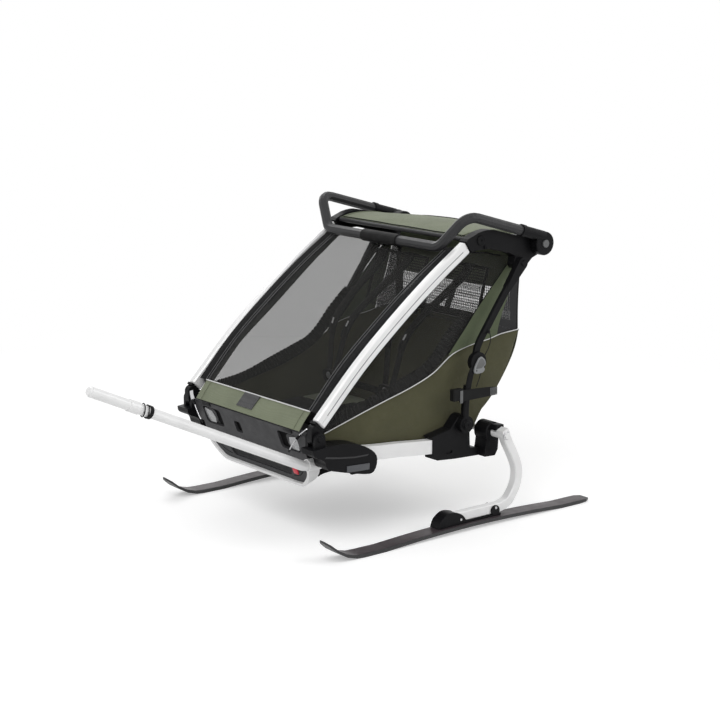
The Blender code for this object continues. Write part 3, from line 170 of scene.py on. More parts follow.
def wander(p, scale, seed=0.0):
    """Smooth noise from -1 to 1 at a place."""
    return noise.noise(Vector((p[0] * scale + seed, p[1] * scale - seed, p[2] * scale + 2 * seed)))


def half_wave(t):
    """Nought at 0 and 1, and one between them."""
    return math.sin(math.pi * t)


def grid(line, cells, spot):
    """A row of places for each item of a line, each by spot(item, share across, index)."""
    return [[spot(item, k / cells, index) for k in range(cells + 1)]
            for index, item in enumerate(line)]


def side_grid(sign, low_line, high_line, cells, spot):
    """The same between two (y, z) lines of a side; spot gives how far out, y and z."""
    def between(pair, t, index):
        depth, y, z = spot(pair[0].lerp(pair[1], t), t, index)
        return place(sign * (SIDE_X + depth), y, z)
    return grid(list(zip(low_line, high_line)), cells, between)


def turned(rows):
    """Rows and columns of a grid changed over."""
    return [list(row) for row in zip(*rows)]


def new_object(name, data):
    made = bpy.data.objects.new(name, data)
    bpy.context.scene.collection.objects.link(made)
    return made


# Materials
def new_tree(owner):
    """The empty node tree of a material or of the world."""
    owner.use_nodes = True
    owner.node_tree.nodes.clear()
    return owner.node_tree


def node(tree, kind, sockets=(), **values):
    """A node; each of its sockets is given a value, or the output that feeds it."""
    made = tree.nodes.new("ShaderNode" + kind)
    for key, value in values.items():
        setattr(made, key, value)
    for key, value in dict(sockets).items():
        if isinstance(value, bpy.types.NodeSocket):
            tree.links.new(value, made.inputs[key])
        else:
            made.inputs[key].default_value = value
    return made


def maths(tree, operation, *values, clamp=False):
    return node(tree, "Math", enumerate(values), operation=operation,
                use_clamp=clamp).outputs[0]


def noise_at(tree, where, scale, detail=3.0, rough=0.5):
    return node(tree, "TexNoise", {"Vector": where, "Scale": scale, "Detail": detail,
                                             "Roughness": rough}).outputs["Fac"]


def mix_colour(tree, factor, low, high, blend_type="MIX"):
    """Two colours mixed by a factor; each is written out, or comes from a socket."""
    low, high = [(*tone, 1) if isinstance(tone, tuple) else tone for tone in (low, high)]
    return node(tree, "Mix", {"Factor": factor, "A": low, "B": high}, data_type="RGBA",
                blend_type=blend_type).outputs["Result"]


def ramp(tree, value, low, high, out_low=0.0, out_high=1.0):
    return node(tree, "MapRange", {"Value": value, "From Min": low, "From Max": high,
                                             "To Min": out_low, "To Max": out_high}
                ).outputs["Result"]


def patches_at(tree, where, scale, detail, low=0.0, high=1.0):
    """Soft patches between two values."""
    return ramp(tree, noise_at(tree, where, scale, detail), 0.3, 0.7, low, high)


def scaled(colour, by):
    return tuple(min(1.0, c * by) for c in colour)


def bumped(tree, height, distance, strength, before=None):
    sockets = {"Height": height, "Distance": distance, "Strength": strength}
    if before is not None:
        sockets["Normal"] = before
    return node(tree, "Bump", sockets).outputs["Normal"]


SLOT_OF, LOOK_OF = {}, {}


def start_material(name, slot):
    """A bare material, its tree and the object coordinates. The first of a slot is its look."""
    made = bpy.data.materials.new(name)
    SLOT_OF[name] = slot
    LOOK_OF.setdefault(slot, made)
    tree = new_tree(made)
    return made, tree, node(tree, "TexCoord").outputs["Object"]


def shade(tree, sockets):
    shader = node(tree, "BsdfPrincipled", sockets)
    node(tree, "OutputMaterial", {"Surface": shader.outputs[0]})


def edge_mask(tree, radius):
    """White along sharp edges: how far the rounded normal leaves the true one."""
    bevel = node(tree, "Bevel", {"Radius": radius}, samples=4)
    flat = node(tree, "NewGeometry").outputs["Normal"]
    dot = node(tree, "VectorMath", {0: bevel.outputs[0], 1: flat},
               operation="DOT_PRODUCT")
    return ramp(tree, dot.outputs["Value"], 0.999, 0.90)


def hard(name, slot, colour, rough, grain, grain_deep, uneven, worn=None, worn_by=0.5, metallic=0.0,
         coat=0.0, streak=None, specular=0.5):
    """Metal or moulded plastic: fine grain, uneven gloss, and wear along the edges."""
    made, tree, where = start_material(name, slot)
    tone = mix_colour(tree, patches_at(tree, where, 14.0, 4.0), scaled(colour, 1 - uneven),
                      scaled(colour, 1 + uneven))
    if worn is not None:
        edge = maths(tree, "MULTIPLY", edge_mask(tree, 0.0012),
                     ramp(tree, noise_at(tree, where, 60.0, 5.0, 0.7), 0.40, 0.68))
        tone = mix_colour(tree, maths(tree, "MULTIPLY", edge, worn_by, clamp=True), tone, worn)
    gloss = patches_at(tree, where, 35.0, 3.0, rough - 0.06, rough + 0.07)
    if streak is not None:
        where = node(tree, "Mapping", {"Vector": where, "Scale": streak}).outputs[0]
    shade(tree, {"Base Color": tone, "Metallic": metallic, "Coat Weight": coat,
                 "Specular IOR Level": specular, "Roughness": gloss,
                 "Normal": bumped(tree, noise_at(tree, where, grain, 2.0), grain_deep, 0.6)})
    return made


def waves_at(tree, where, pitch, axes):
    """Sine waves of the object coordinates."""
    parts = node(tree, "SeparateXYZ", {0: where}).outputs
    return [maths(tree, "SINE", maths(tree, "MULTIPLY", parts[axis], math.pi / pitch))
            for axis in axes]


def cloth(name, slot, colour, rough, pitch=0.0014, sheen=0.15, deep=0.0002, thread=0.12,
          crumple=0.0, specular=0.2):
    """Plain weave that lies well on a sheet of any direction."""
    made, tree, where = start_material(name, slot)
    waves = waves_at(tree, where, pitch / 2, (0, 1, 2))
    pairs = [maths(tree, "MULTIPLY", waves[i], waves[j]) for i, j in ((0, 1), (1, 2), (2, 0))]
    weave = maths(tree, "ADD", maths(tree, "ADD", pairs[0], pairs[1]), pairs[2])
    tone = mix_colour(tree, patches_at(tree, where, 9.0, 5.0), scaled(colour, 0.9),
                      scaled(colour, 1.1))
    tone = mix_colour(tree, ramp(tree, weave, -0.2, -1.0), tone, (1 - thread,) * 3, "MULTIPLY")
    normal = bumped(tree, weave, deep, 0.5)
    if crumple:
        normal = bumped(tree, noise_at(tree, where, 24.0), crumple, 0.7, normal)
    shade(tree, {"Base Color": tone, "Sheen Weight": sheen, "Specular IOR Level": specular,
                 "Roughness": patches_at(tree, where, 50.0, 3.0, rough - 0.07, rough + 0.07),
                 "Normal": normal})
    return made


def film(name, slot, colour, alpha):
    """Tinted film, hazy and slightly crinkled."""
    made, tree, where = start_material(name, slot)
    tone = mix_colour(tree, patches_at(tree, where, 6.0, 3.0), scaled(colour, 0.85), colour)
    shade(tree, {"Base Color": tone, "Alpha": alpha, "Specular IOR Level": 0.0,
                 "Roughness": patches_at(tree, where, 18.0, 3.0, 0.17, 0.26),
                 "Normal": bumped(tree, noise_at(tree, where, 11.0, 2.0), 0.0006, 0.5)})
    return made


def netting(name, slot, colour, pitch, axes, thread):
    """Open netting: threads that cross, and nothing between them."""
    made, tree, where = start_material(name, slot)
    waves = [maths(tree, "ABSOLUTE", wave) for wave in waves_at(tree, where, pitch, axes)]
    least = maths(tree, "MINIMUM", waves[0], waves[1])
    tone = mix_colour(tree, noise_at(tree, where, 30.0), scaled(colour, 0.8), scaled(colour, 1.2))
    shade(tree, {"Base Color": tone, "Alpha": maths(tree, "LESS_THAN", least, thread),
                 "Roughness": 0.8, "Normal": bumped(tree, least, 0.0003, 0.5)})
    return made


def grey(value):
    return (value,) * 3


hard("silver coat", "silver_tube", grey(0.80), 0.38, 1500.0, 0.00008, 0.03, grey(0.60), 0.35,
     metallic=0.12, streak=(1.0, 0.06, 0.06))
PLASTIC = hard("black plastic", "black_plastic", (0.0060, 0.0060, 0.0068), 0.42, 1400.0, 0.00018,
               0.15, (0.026, 0.026, 0.027), specular=0.10)
PANEL = hard("dark panel", "dark_panel", (0.036, 0.036, 0.038), 0.55, 1100.0, 0.0002, 0.10,
             grey(0.075), 0.4, specular=0.25)
# Near-black without gloss, for the zip teeth and the panel's frame lines, and as painted shade on
# the floors of the front panel's pits.
BLACK_AND_PIT_SHADE = hard("deep black plastic and pit shade", "black_plastic", (0.0035, 0.0035, 0.0038), 0.7, 900.0, 0.0001, 0.1,
           specular=0.05)
GREY = hard("grey plastic", "grey_plastic", (0.215, 0.222, 0.226), 0.40, 1300.0, 0.00012, 0.06,
            grey(0.42))
GREY_DARK = hard("dim grey plastic", "grey_plastic", (0.105, 0.107, 0.108), 0.5, 1300.0, 0.00012,
                 0.06)
RED = hard("red plastic", "red_plastic", (0.58, 0.010, 0.032), 0.40, 900.0, 0.0001, 0.06,
           (0.7, 0.12, 0.12), 0.3)
hard("dark grey powder coat", "dark_bar", (0.025, 0.025, 0.0265), 0.42, 1700.0, 0.00016, 0.06,
     grey(0.12), 0.3, metallic=0.05, specular=0.3)
RUBBER = hard("black rubber", "black_rubber", grey(0.0085), 0.58, 800.0, 0.00012, 0.12, grey(0.03),
              0.3, specular=0.12)
SKI_TOP = hard("ski top sheet", "ski_top", (0.050, 0.040, 0.044), 0.40, 700.0, 0.00005, 0.06,
               grey(0.02), 0.4, coat=0.05, specular=0.25)
SKI_EDGE = hard("ski side wall", "ski_top", (0.018, 0.018, 0.019), 0.45, 900.0, 0.00008, 0.1)
LENS = hard("pale reflector", "grey_plastic", (0.36, 0.365, 0.37), 0.22, 420.0, 0.0005, 0.06,
            coat=0.4)
LENS_DIM = hard("dim reflector", "grey_plastic", (0.062, 0.065, 0.072), 0.35, 500.0, 0.0004, 0.06)
GROOVE_SHADE = hard("groove shadow", "silver_tube", grey(0.22), 0.6, 900.0, 0.0001, 0.1)
STEEL = hard("steel", "silver_tube", (0.55, 0.55, 0.56), 0.28, 1500.0, 0.00005, 0.08, metallic=0.9)
PIPING = hard("pale piping", "grey_plastic", grey(0.62), 0.35, 700.0, 0.0002, 0.08)
OLIVE = cloth("olive cloth", "olive_fabric", (0.072, 0.070, 0.034), 0.80, crumple=0.0012)
SAGE = cloth("sage cloth", "sage_fabric", (0.190, 0.212, 0.140), 0.82, crumple=0.0008)
MOSS = cloth("moss cloth", "sage_fabric", (0.088, 0.108, 0.060), 0.80, crumple=0.0008)
BLACK = cloth("black cloth", "black_fabric", (0.0095, 0.0095, 0.0100), 0.85, sheen=0.03,
              crumple=0.0008, specular=0.1)
GATHER = cloth("black elastic", "black_fabric", (0.0050, 0.0050, 0.0053), 0.50, 0.0020, sheen=0.0,
               specular=0.25)
WEB = cloth("black webbing", "black_fabric", (0.012, 0.012, 0.013), 0.75, 0.0024, sheen=0.03,
            deep=0.0005, thread=0.3, specular=0.1)
ZIP = cloth("zip tape", "black_fabric", (0.050, 0.050, 0.052), 0.6, 0.0030, deep=0.0007,
            thread=0.45)
STRIP = cloth("grey zip tape", "black_fabric", (0.150, 0.150, 0.148), 0.7, 0.0030, deep=0.0005,
              thread=0.2)
FILM = film("tinted film", "window_film", (0.055, 0.055, 0.053), 0.27)
NET = netting("black netting", "black_fabric", (0.012, 0.012, 0.013), 0.0088, (0, 2), 0.30)
NET_SIDE = netting("black side netting", "black_fabric", (0.012, 0.012, 0.013), 0.0042, (1, 2),
                   0.86)

def dress(node_name, material):
    solid = frame["nodes"][node_name]
    solid.data.materials.clear()
    solid.data.materials.append(material)


for subpart in frame["record"]["subparts"]:
    dress(subpart["node"], LOOK_OF[subpart["material_slot"]])
for side, sign in SIDES:
    dress("hub_button_" + side, GREY_DARK)
    dress("ski_" + side, SKI_EDGE)


# Makers of pieces
def add_piece(name, shape, material, body, smooth_angle=50):
    """A finished mesh as a piece that rides on a body, or stays baked in place."""
    bmesh.ops.recalc_face_normals(shape, faces=shape.faces)
    mesh = bpy.data.meshes.new(name)
    shape.to_mesh(mesh)
    shape.free()
    mesh.materials.append(material)
    mesh.shade_smooth()
    mesh.set_sharp_from_angle(angle=math.radians(smooth_angle))
    piece = new_object(name, mesh)
    carry(piece, body)
    return piece


def carry(piece, body):
    """A soft piece has its place baked into its mesh; any other piece rides on its body."""
    if body == SOFT:
        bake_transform(piece)
    else:
        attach(piece, body)


def cloth_piece(name, rows, material, thick, body=SOFT):
    """A thin sheet on a grid of points, closed round its edges."""
    shape = bmesh.new()
    made = [[shape.verts.new(p) for p in row] for row in rows]
    for low, high in zip(made, made[1:]):
        for a, b, c, d in zip(low, low[1:], high[1:], high):
            shape.faces.new((a, b, c, d))
    bmesh.ops.recalc_face_normals(shape, faces=shape.faces)
    bmesh.ops.solidify(shape, geom=shape.faces[:], thickness=thick)
    return add_piece(name, shape, material, body, 60)


def path_length(points):
    return sum((b - a).length for a, b in zip(points, points[1:]))


def sheet_piece(name, rows, material, thick, body=SOFT, stands_for=None):
    """A cloth piece that hides the CAD node it stands for; the flat size of its grid is worked out
    but not used.
    """
    piece = cloth_piece(name, rows, material, thick, body)
    if stands_for:
        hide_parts(stands_for)
    width = max(path_length(row) for row in rows)
    area = 0.0
    for low, high in zip(rows, rows[1:]):
        for a, b, c, d in zip(low, low[1:], high[1:], high):
            area += ((b - a).cross(c - a).length + (c - a).cross(d - a).length) / 2
    length = max(path_length([row[len(row) // 2] for row in rows]), area / width * 1.002)
    return piece


def strap_piece(name, path, wide, material, thick, across=(1, 0, 0), body=SOFT):
    """A flat strap along a path, with its width along one direction."""
    side = Vector(across).normalized() * (wide / 2)
    rows = [[p + side * share for share in (-1, -0.5, 0, 0.5, 1)] for p in path]
    return cloth_piece(name, rows, material, thick, body)


def round_rings(shape, rings, closed=False):
    """Skin over rings of points, capped where the row of rings is open."""
    made = [[shape.verts.new(p) for p in ring] for ring in rings]
    for low, high in list(zip(made, made[1:])) + ([(made[-1], made[0])] if closed else []):
        for a, b, c, d in zip(low, low[1:] + low[:1], high[1:] + high[:1], high):
            shape.faces.new((a, b, c, d))
    if not closed:
        shape.faces.new(made[0][::-1])
        shape.faces.new(made[-1])


def rope_piece(name, path, radius, material, body=SOFT, sides=10, closed=False):
    """A round cord, wire or roll along a path."""
    rings = []
    count = len(path)
    normal = None
    for i, p in enumerate(path):
        before = path[i - 1] if (i or closed) else p
        after = path[(i + 1) % count] if (i < count - 1 or closed) else p
        along = (after - before).normalized()
        if normal is None:
            normal = along.orthogonal().normalized()
        normal = (normal - along * normal.dot(along)).normalized()
        other = along.cross(normal)
        rings.append([p + (normal * math.cos(t) + other * math.sin(t)) * radius
                      for t in [2 * math.pi * k / sides for k in range(sides)]])
    shape = bmesh.new()
    round_rings(shape, rings, closed)
    return add_piece(name, shape, material, body)


def turned_piece(name, spot, axis, profile, material, body, sides=28, socket=0):
    """A turned piece: profile of (radius, height); a socket of so many flats is sunk in its end."""
    axis = Vector(axis).normalized()
    normal = axis.orthogonal().normalized()
    other = axis.cross(normal)
    rings = []
    for index, (radius, height) in enumerate(profile):
        ring = []
        for k in range(sides):
            t = 2 * math.pi * k / sides
            size = radius
            if socket and index >= len(profile) - 2:
                part = 2 * math.pi / socket
                size = radius * math.cos(part / 2) / math.cos((t % part) - part / 2)
            ring.append(spot + axis * height + (normal * math.cos(t) + other * math.sin(t)) * size)
        rings.append(ring)
    shape = bmesh.new()
    round_rings(shape, rings)
    return add_piece(name, shape, material, body, 35)


def screw(name, spot, axis, radius, body):
    """A round-headed steel screw with a six-sided socket."""
    proud = 0.0025
    profile = [(radius, -0.002), (radius, proud * 0.5), (radius * 0.9, proud * 0.9),
               (radius * 0.55, proud), (radius * 0.5, proud - 0.0004), (radius * 0.46, proud * 0.3)]
    return turned_piece(name, spot, axis, profile, STEEL, body, 24, socket=6)


def slab(name, outline, low, high, material, body, edge=0.001):
    """A plate with rounded edges: an outline of points, raised from low to high."""
    shape = bmesh.new()
    base = [shape.verts.new(p + low) for p in outline]
    top = [shape.verts.new(p + high) for p in outline]
    shape.faces.new(base)
    shape.faces.new(top[::-1])
    for a, b, c, d in zip(base, top, top[1:] + top[:1], base[1:] + base[:1]):
        shape.faces.new((a, b, c, d))
    bmesh.ops.recalc_face_normals(shape, faces=shape.faces)
    if edge:
        sharp = [e for e in shape.edges if e.calc_face_angle(0) > 0.7]
        bmesh.ops.bevel(shape, geom=sharp, offset=edge, segments=2, affect="EDGES", profile=0.5,
                        clamp_overlap=True)
    return add_piece(name, shape, material, body, 40)


def side_slab(name, outline, x_low, x_high, material, body, edge=0.001):
    """A slab whose outline is given as (y, z)."""
    return slab(name, [at(0.0, p) for p in outline], Vector((x_low, 0, 0)),
                Vector((x_high, 0, 0)), material, body, edge)


def box_outline(low_x, low_y, high_x, high_y):
    return [(low_x, low_y), (high_x, low_y), (high_x, high_y), (low_x, high_y)]


# Side cloths
def side_cloth(side, sign):
    """The lower cloth, the film, the moss band and the netting of one side of the cabin."""
    panel, arch = "side_panel_" + side, "front_arch_" + side

    def lower_spot(p, t, index):
        belly = half_wave(min(1.0, t * 1.02)) * 0.0035
        rear = max(0.0, (p.x - 0.50) / 0.25)
        folds = 0.0011 * wander((0, p.x * 1.2 - p.y * 0.9, p.x * 0.6), 11.0, 3.0)
        folds += rear * 0.0022 * wander((0, p.x, p.y), 22.0, 7.0)
        return belly + folds, p.x, p.y

    pipe = smooth(PIPE_LINE, 5)
    rows = turned(side_grid(sign, smooth(SIDE_FOOT, 5), pipe, 14, lower_spot))
    piping = rope_piece("side_piping_" + side, [at(sign * (SIDE_X + 0.0046), p) for p in pipe],
                        0.0017, PIPING)
    sheet_piece("side_cloth_" + side, rows, OLIVE, SHELL_THICK,
                stands_for=panel)

    def film_spot(p, t, index):
        inner = half_wave(t)
        crease = 0.0030 * inner * wander((0, p.x + 0.6 * p.y, p.x * 0.3), 9.0, 1.0)
        near_top = max(0.0, min(1.0, (p.y - 0.72) / 0.06)) * inner
        crease += near_top * 0.0040 * wander((0, p.x * 1.1 - p.y, p.y), 26.0, 5.0)
        return 0.0010 + crease, p.x, p.y

    low_line, high_line = smooth(FILM_LOW), smooth(FILM_HIGH)
    rows = []
    for low, high in list(zip(low_line, high_line))[:-5]:
        edge, inward = at(sign * (SIDE_X + 0.0005), high), (low - high).normalized()
        inward = Vector((0, inward.x, inward.y))
        rows.append([edge, edge + inward * 0.0025 + Vector((sign * 0.0012, 0, 0)),
                     edge + inward * 0.005])
    binding = cloth_piece("side_binding_" + side, rows, BLACK, SHELL_THICK)
    sheet_piece("side_film_" + side, turned(side_grid(sign, low_line, high_line, 18, film_spot)),
                FILM, 0.0008, stands_for=panel)
    front = spread(smooth(WINDOW_LINE), 40)
    behind = [a.lerp(b, 1.10) for a, b in zip(front, spread(smooth(WINDOW_BEHIND), 40))]
    rows = side_grid(sign, front, behind, 5,
                     lambda p, t, index: (0.0010 * half_wave(t), p.x, p.y))
    sheet_piece("side_front_strip_" + side, rows, STRIP, 0.0010)

    # Elastic gathers along the film's lower edge
    pleats = 66
    outer = spread(smooth(GATHER_OUTER, 8), pleats * 6)
    inner = spread(smooth(GATHER_INNER, 8), pleats * 6)

    def gather_spot(p, t, index):
        turn = 2 * math.pi * index / 9 + 2.2 * wander((index * 0.05, 0, 0), 1.0, 3.0)
        deep = 0.0036 * (0.35 + 0.65 * t) * (0.75 + 0.6 * wander((index * 0.07, 0, 0), 1.0, 8.0))
        tuck = 0.014 * (1 - t) * min(1.0, max(0.0, (outer[index].x - 0.44) / 0.03))
        return -0.0050 + deep * math.sin(turn), p.x + tuck, p.y - tuck

    sheet_piece("side_gathers_" + side, turned(side_grid(sign, outer, inner, 6, gather_spot)),
                GATHER, 0.0008)

    # Moss band beside the upright
    cells = 24
    front = spread(smooth(BAND_FRONT, 5), cells)
    back = spread(smooth(BAND_REAR, 5), cells)

    def band_spot(p, t, index):
        bulge = half_wave(t)
        z = p.y + 0.008 * bulge * (1 - index / cells) ** 5
        return 0.0040 + 0.0022 * bulge + 0.0012 * wander((0, p.x, z), 18.0, 4.0), p.x, z

    rows = side_grid(sign, front, back, 12, band_spot)
    # A thin black cord along the band's front edge: the seam there, and painted shadow along that
    # edge.
    seam = rope_piece("side_band_seam_shadow_" + side, [row[0] for row in rows], 0.0012, BLACK)
    sheet_piece("side_moss_band_" + side, rows, MOSS, SHELL_THICK)

    # Netting between the moss band and the rear edge
    outer = spread(smooth(REAR_EDGE, 5), cells)
    rows = side_grid(sign, back, outer, 6, lambda p, t, index: (0.0006 - 0.003 * t * t, p.x, p.y))
    edge = [place(sign * 0.296, p.x - 0.001, p.y) for p in outer]
    roll = rope_piece("rear_edge_roll_" + side, edge, 0.0105, BLACK, sides=14)
    sheet_piece("side_netting_" + side, rows, NET_SIDE, NET_THICK)


# Rear cloth
def rear_cloth():
    line = smooth(REAR_LINE)

    def trunk_spot(p, t, index):
        u = 2 * t - 1
        sink = 0.0040 * (1 - u * u) + 0.0022 * wander((u * 0.3, p.x, p.y), 12.0, 6.0)
        return place(u * (REAR_HALF + 0.005), p.x + sink, p.y)

    rows = grid(spread([p for p in line if p.y <= 0.580], 22), 40, trunk_spot)
    piping = rope_piece("rear_piping", [p + Vector((0, 0.0015, 0.001)) for p in rows[0]], 0.0020,
                        PIPING)
    sheet_piece("rear_cloth", rows, OLIVE, SHELL_THICK,
                stands_for="rear_panel")

    def panel(name, z_range, x_range, material, thick, out, cells, rests_on):
        def spot(p, t, index):
            x = x_range[0] + (x_range[1] - x_range[0]) * t
            return place(x, p.x + out + 0.0010 * wander((x, p.x, p.y), 16.0, 8.0), p.y)
        picked = [p for p in spread(line, 120)
                  if z_range[0] - 0.004 <= p.y <= z_range[1] + 0.004]
        sheet_piece(name, grid(spread(picked, 8), cells, spot), material, thick)

    panel("rear_netting", (0.594, 0.706), (-0.282, 0.282), NET, NET_THICK, 0.0, 24, "rear_cloth")
    for name, z_range, x_range in (("low", (0.580, 0.600), (-REAR_HALF, REAR_HALF)),
                                   ("left", (0.586, 0.712), (0.272, REAR_HALF)),
                                   ("right", (0.586, 0.712), (-REAR_HALF, -0.272))):
        panel("rear_band_" + name, z_range, x_range, BLACK, 0.0016, 0.0012, 8, "rear_netting")
    middle = [place(0.012 - 0.051 * k / 8, 0.7495, 0.706 - 0.112 * k / 8) for k in range(9)]
    strap_piece("rear_net_strap", middle, 0.028, BLACK, 0.0018)

    def top_spot(p, t, index):
        u = 2 * t - 1
        loose = half_wave(min(1.0, index / 20)) * (1 - u ** 8)
        deep = 0.0075 * loose * wander((u * 0.9, p.y * 0.5, u * p.y), 3.4, 2.0)
        deep += 0.0045 * loose * wander((u * 0.5 + p.y, p.y * 1.4, 0), 11.0, 5.0)
        crown = 0.0025 + 0.021 * (1 - abs(u * REAR_HALF / ROOF_HALF) ** 2.5)
        rise = crown * max(0.0, (index - 12) / 10)
        return place(u * REAR_HALF, p.x - 0.003 * loose + deep, p.y + rise)

    sheet_piece("rear_top_cloth", grid(spread(smooth(REAR_TOP_LINE), 22), 72, top_spot), SAGE,
                SHELL_THICK)


# Floor, roof and window
def floor_cloth():
    line = [(0.000, 0.200, 0.235), (0.018, 0.208, 0.240), (0.050, 0.232, 0.292),
            (0.090, 0.246, 0.3050), (0.130, 0.256, 0.3050), (0.180, 0.262, 0.3050),
            (0.300, 0.262, 0.3050), (0.420, 0.262, 0.3050), (0.545, 0.262, 0.3050)]

    def spot(p, t, index):
        y, z, half = p
        return place(half * (2 * t - 1), y, z + 0.0006 * wander((1.2 * t, y, z), 20.0))

    sheet_piece("floor_cloth", grid(smooth(line, 4), 24, spot), BLACK, 0.0016,
                "base", "cabin_floor")


def roof_cloth():
    def spot(pair, t, index):
        u = 2 * t - 1
        p = pair[0].lerp(pair[1], 1 - abs(u) ** 2.5)
        sag = 0.0016 * wander((u * 0.3, p.x, p.y), 10.0, 9.0)
        return place(u * ROOF_HALF, p.x, p.y + sag)

    rows = grid(list(zip(smooth(ROOF_SIDE, 4), smooth(ROOF_CROWN, 4))), 48, spot)
    hems = [rope_piece(name, [p + Vector((0, 0, 0.0004)) for p in picked], 0.0024, BLACK, UPPER)
            for name, picked in (("roof_front_hem", rows[2]), ("roof_rear_hem", rows[-1]))]
    for side, sign in SIDES:
        path = [row[-2 if sign > 0 else 1] + Vector((0, 0, 0.0012)) for row in rows]
        hems.append(rope_piece("roof_side_seam_" + side, path, 0.0014, SAGE, UPPER))
    sheet_piece("roof_cloth", rows, SAGE, 0.0016,
                UPPER, "roof_canopy")


def window_cloth():
    def off_window(x, p, lift):
        return at(x, p) + WINDOW_OUT * lift

    line = smooth(WINDOW_LINE)

    def spot(p, t, index):
        u = 2 * t - 1
        sag = -0.0035 * (1 - u ** 4) * half_wave(index / (len(line) - 1))
        sag += 0.0014 * (1 - u ** 6) * wander((u * 0.29, p.x, p.y), 8.0, 11.0)
        return off_window(u * WINDOW_HALF, p, sag)

    sheet_piece("window_film", grid(line, 40, spot), FILM, 0.0010,
                UPPER, "front_window")
    for side, sign in SIDES:
        tape_rows = grid(smooth(WINDOW_LINE, 8), 4, lambda p, t, index: off_window(
            sign * (0.2700 + 0.0168 * t), p, 0.0018 + 0.0004 * (round(4 * t) % 2)))
        tape = cloth_piece("window_zip_" + side, tape_rows, ZIP, 0.0010, UPPER)
        teeth = rope_piece("window_zip_teeth_" + side,
                           [row[2] + Vector((0, -0.0008, 0.0009)) for row in tape_rows], 0.0013,
                           BLACK_AND_PIT_SHADE, UPPER, sides=8)
        rows = grid(smooth(WINDOW_LINE + [(0.476, 0.867)]), 8, lambda p, t, index: off_window(
            sign * (0.2865 + 0.0350 * t), p, 0.0020 * half_wave(t)))
        sheet_piece("window_edge_" + side, rows, BLACK, 0.0022, UPPER,
                    "window_border")
    start = Vector(WINDOW_LINE[-1])
    hem = [start + Vector((0.83, 0.55)) * (0.016 * k / 5) for k in range(6)]
    rows = grid(hem, 30, lambda p, t, index: place(0.287 * (2 * t - 1), p.x,
                                                   p.y + 0.0012 * half_wave(index / 5)))
    sheet_piece("window_top_hem", rows, BLACK, 0.0020,
                UPPER, "window_border")


def cover_strip():
    low, high = Vector((-0.106, 0.3665)), Vector((-0.0635, 0.4195))

    def spot(p, t, index):
        u = 2 * t - 1
        lift = 0.0014 * half_wave(index / 8)
        lift += 0.0008 * wander((u * 0.28, p.x, p.y), 14.0, 12.0)
        return place(u * 0.280, p.x - 0.78 * lift, p.y + 0.62 * lift)

    rows = grid([low.lerp(high, k / 8) for k in range(9)], 40, spot)
    piping = rope_piece("cover_piping", [p + Vector((0, -0.001, 0.0015)) for p in rows[-1]], 0.0021,
                        PIPING, UPPER)
    patch_line = [low.lerp(high, 0.26 + 0.72 * k / 4) for k in range(5)]
    patch = grid(patch_line, 8, lambda p, t, index: place(-0.0635 + 0.083 * t + 0.0015 * index,
                                                          p.x - 0.0030, p.y + 0.0024))
    trims = [piping, cloth_piece("cover_patch", patch, ZIP, 0.0010, UPPER)]
    for side, sign in SIDES:
        path = [row[-3 if sign > 0 else 2] + Vector((0, -0.0012, 0.001)) for row in rows]
        trims.append(rope_piece("cover_seam_" + side, path, 0.0008, SAGE, UPPER))
    sheet_piece("cover_strip", rows, SAGE, 0.0018, UPPER, "front_cover_strip")


for side, sign in SIDES:
    side_cloth(side, sign)
rear_cloth()
floor_cloth()
roof_cloth()
window_cloth()
cover_strip()


# Seats
def copy_solid(name, node_name):
    """A mesh copy of a CAD node at rest."""
    source = frame["nodes"][node_name]
    mesh = source.data.copy()
    mesh.name = name
    mesh.transform(source.matrix_world)
    return new_object(name, mesh)


def apply_modifiers(piece):
    graph = bpy.context.evaluated_depsgraph_get()
    mesh = bpy.data.meshes.new_from_object(piece.evaluated_get(graph))
    old = piece.data
    piece.modifiers.clear()
    piece.data = mesh
    bpy.data.meshes.remove(old)


def inflate(piece, shrink):
    """Blow a pad up as cloth under pressure, and hold every point within a cap of its start."""
    cap = 0.006
    centre = sum((v.co for v in piece.data.vertices), Vector()) / len(piece.data.vertices)
    for vertex in piece.data.vertices:
        vertex.co = centre + (vertex.co - centre) * shrink
    remesh = piece.modifiers.new("remesh", "REMESH")
    remesh.mode = "VOXEL"
    remesh.voxel_size = 0.006
    apply_modifiers(piece)
    if not FULL:
        return
    start = [v.co.copy() for v in piece.data.vertices]
    modifier = piece.modifiers.new("cloth", "CLOTH")
    for key, value in (("use_pressure", True), ("uniform_pressure_force", 4.0),
                       ("tension_stiffness", 20), ("compression_stiffness", 20),
                       ("shear_stiffness", 10), ("bending_stiffness", 0.5), ("quality", 5)):
        setattr(modifier.settings, key, value)
    modifier.settings.effector_weights.gravity = 0
    modifier.collision_settings.use_collision = False
    for step in range(1, 21):
        bpy.context.scene.frame_set(step)
    apply_modifiers(piece)
    bpy.context.scene.frame_set(1)
    for vertex, first in zip(piece.data.vertices, start):
        move = vertex.co - first
        if move.length > cap:
            vertex.co = first + move * (cap / move.length)


def sew(piece, across_at, along_at, deep, centre, along):
    """Pull a pad in along its sewn channels, which lie across it and along it."""
    piece.data.update()
    normals = [v.normal.copy() for v in piece.data.vertices]
    for vertex, normal in zip(piece.data.vertices, normals):
        from_centre = vertex.co - centre
        gaps = [from_centre.dot(along) - value for value in across_at]
        gaps += [from_centre.x - value for value in along_at]
        vertex.co -= normal * deep * min(sum(math.exp(-(gap / 0.006) ** 2) for gap in gaps), 1.0)


def finish_pad(piece, body):
    modifier = piece.modifiers.new("smooth", "SUBSURF")
    modifier.levels = 1
    modifier.render_levels = 1
    apply_modifiers(piece)
    piece.data.materials.clear()
    piece.data.materials.append(BLACK)
    piece.data.shade_smooth()
    carry(piece, body)


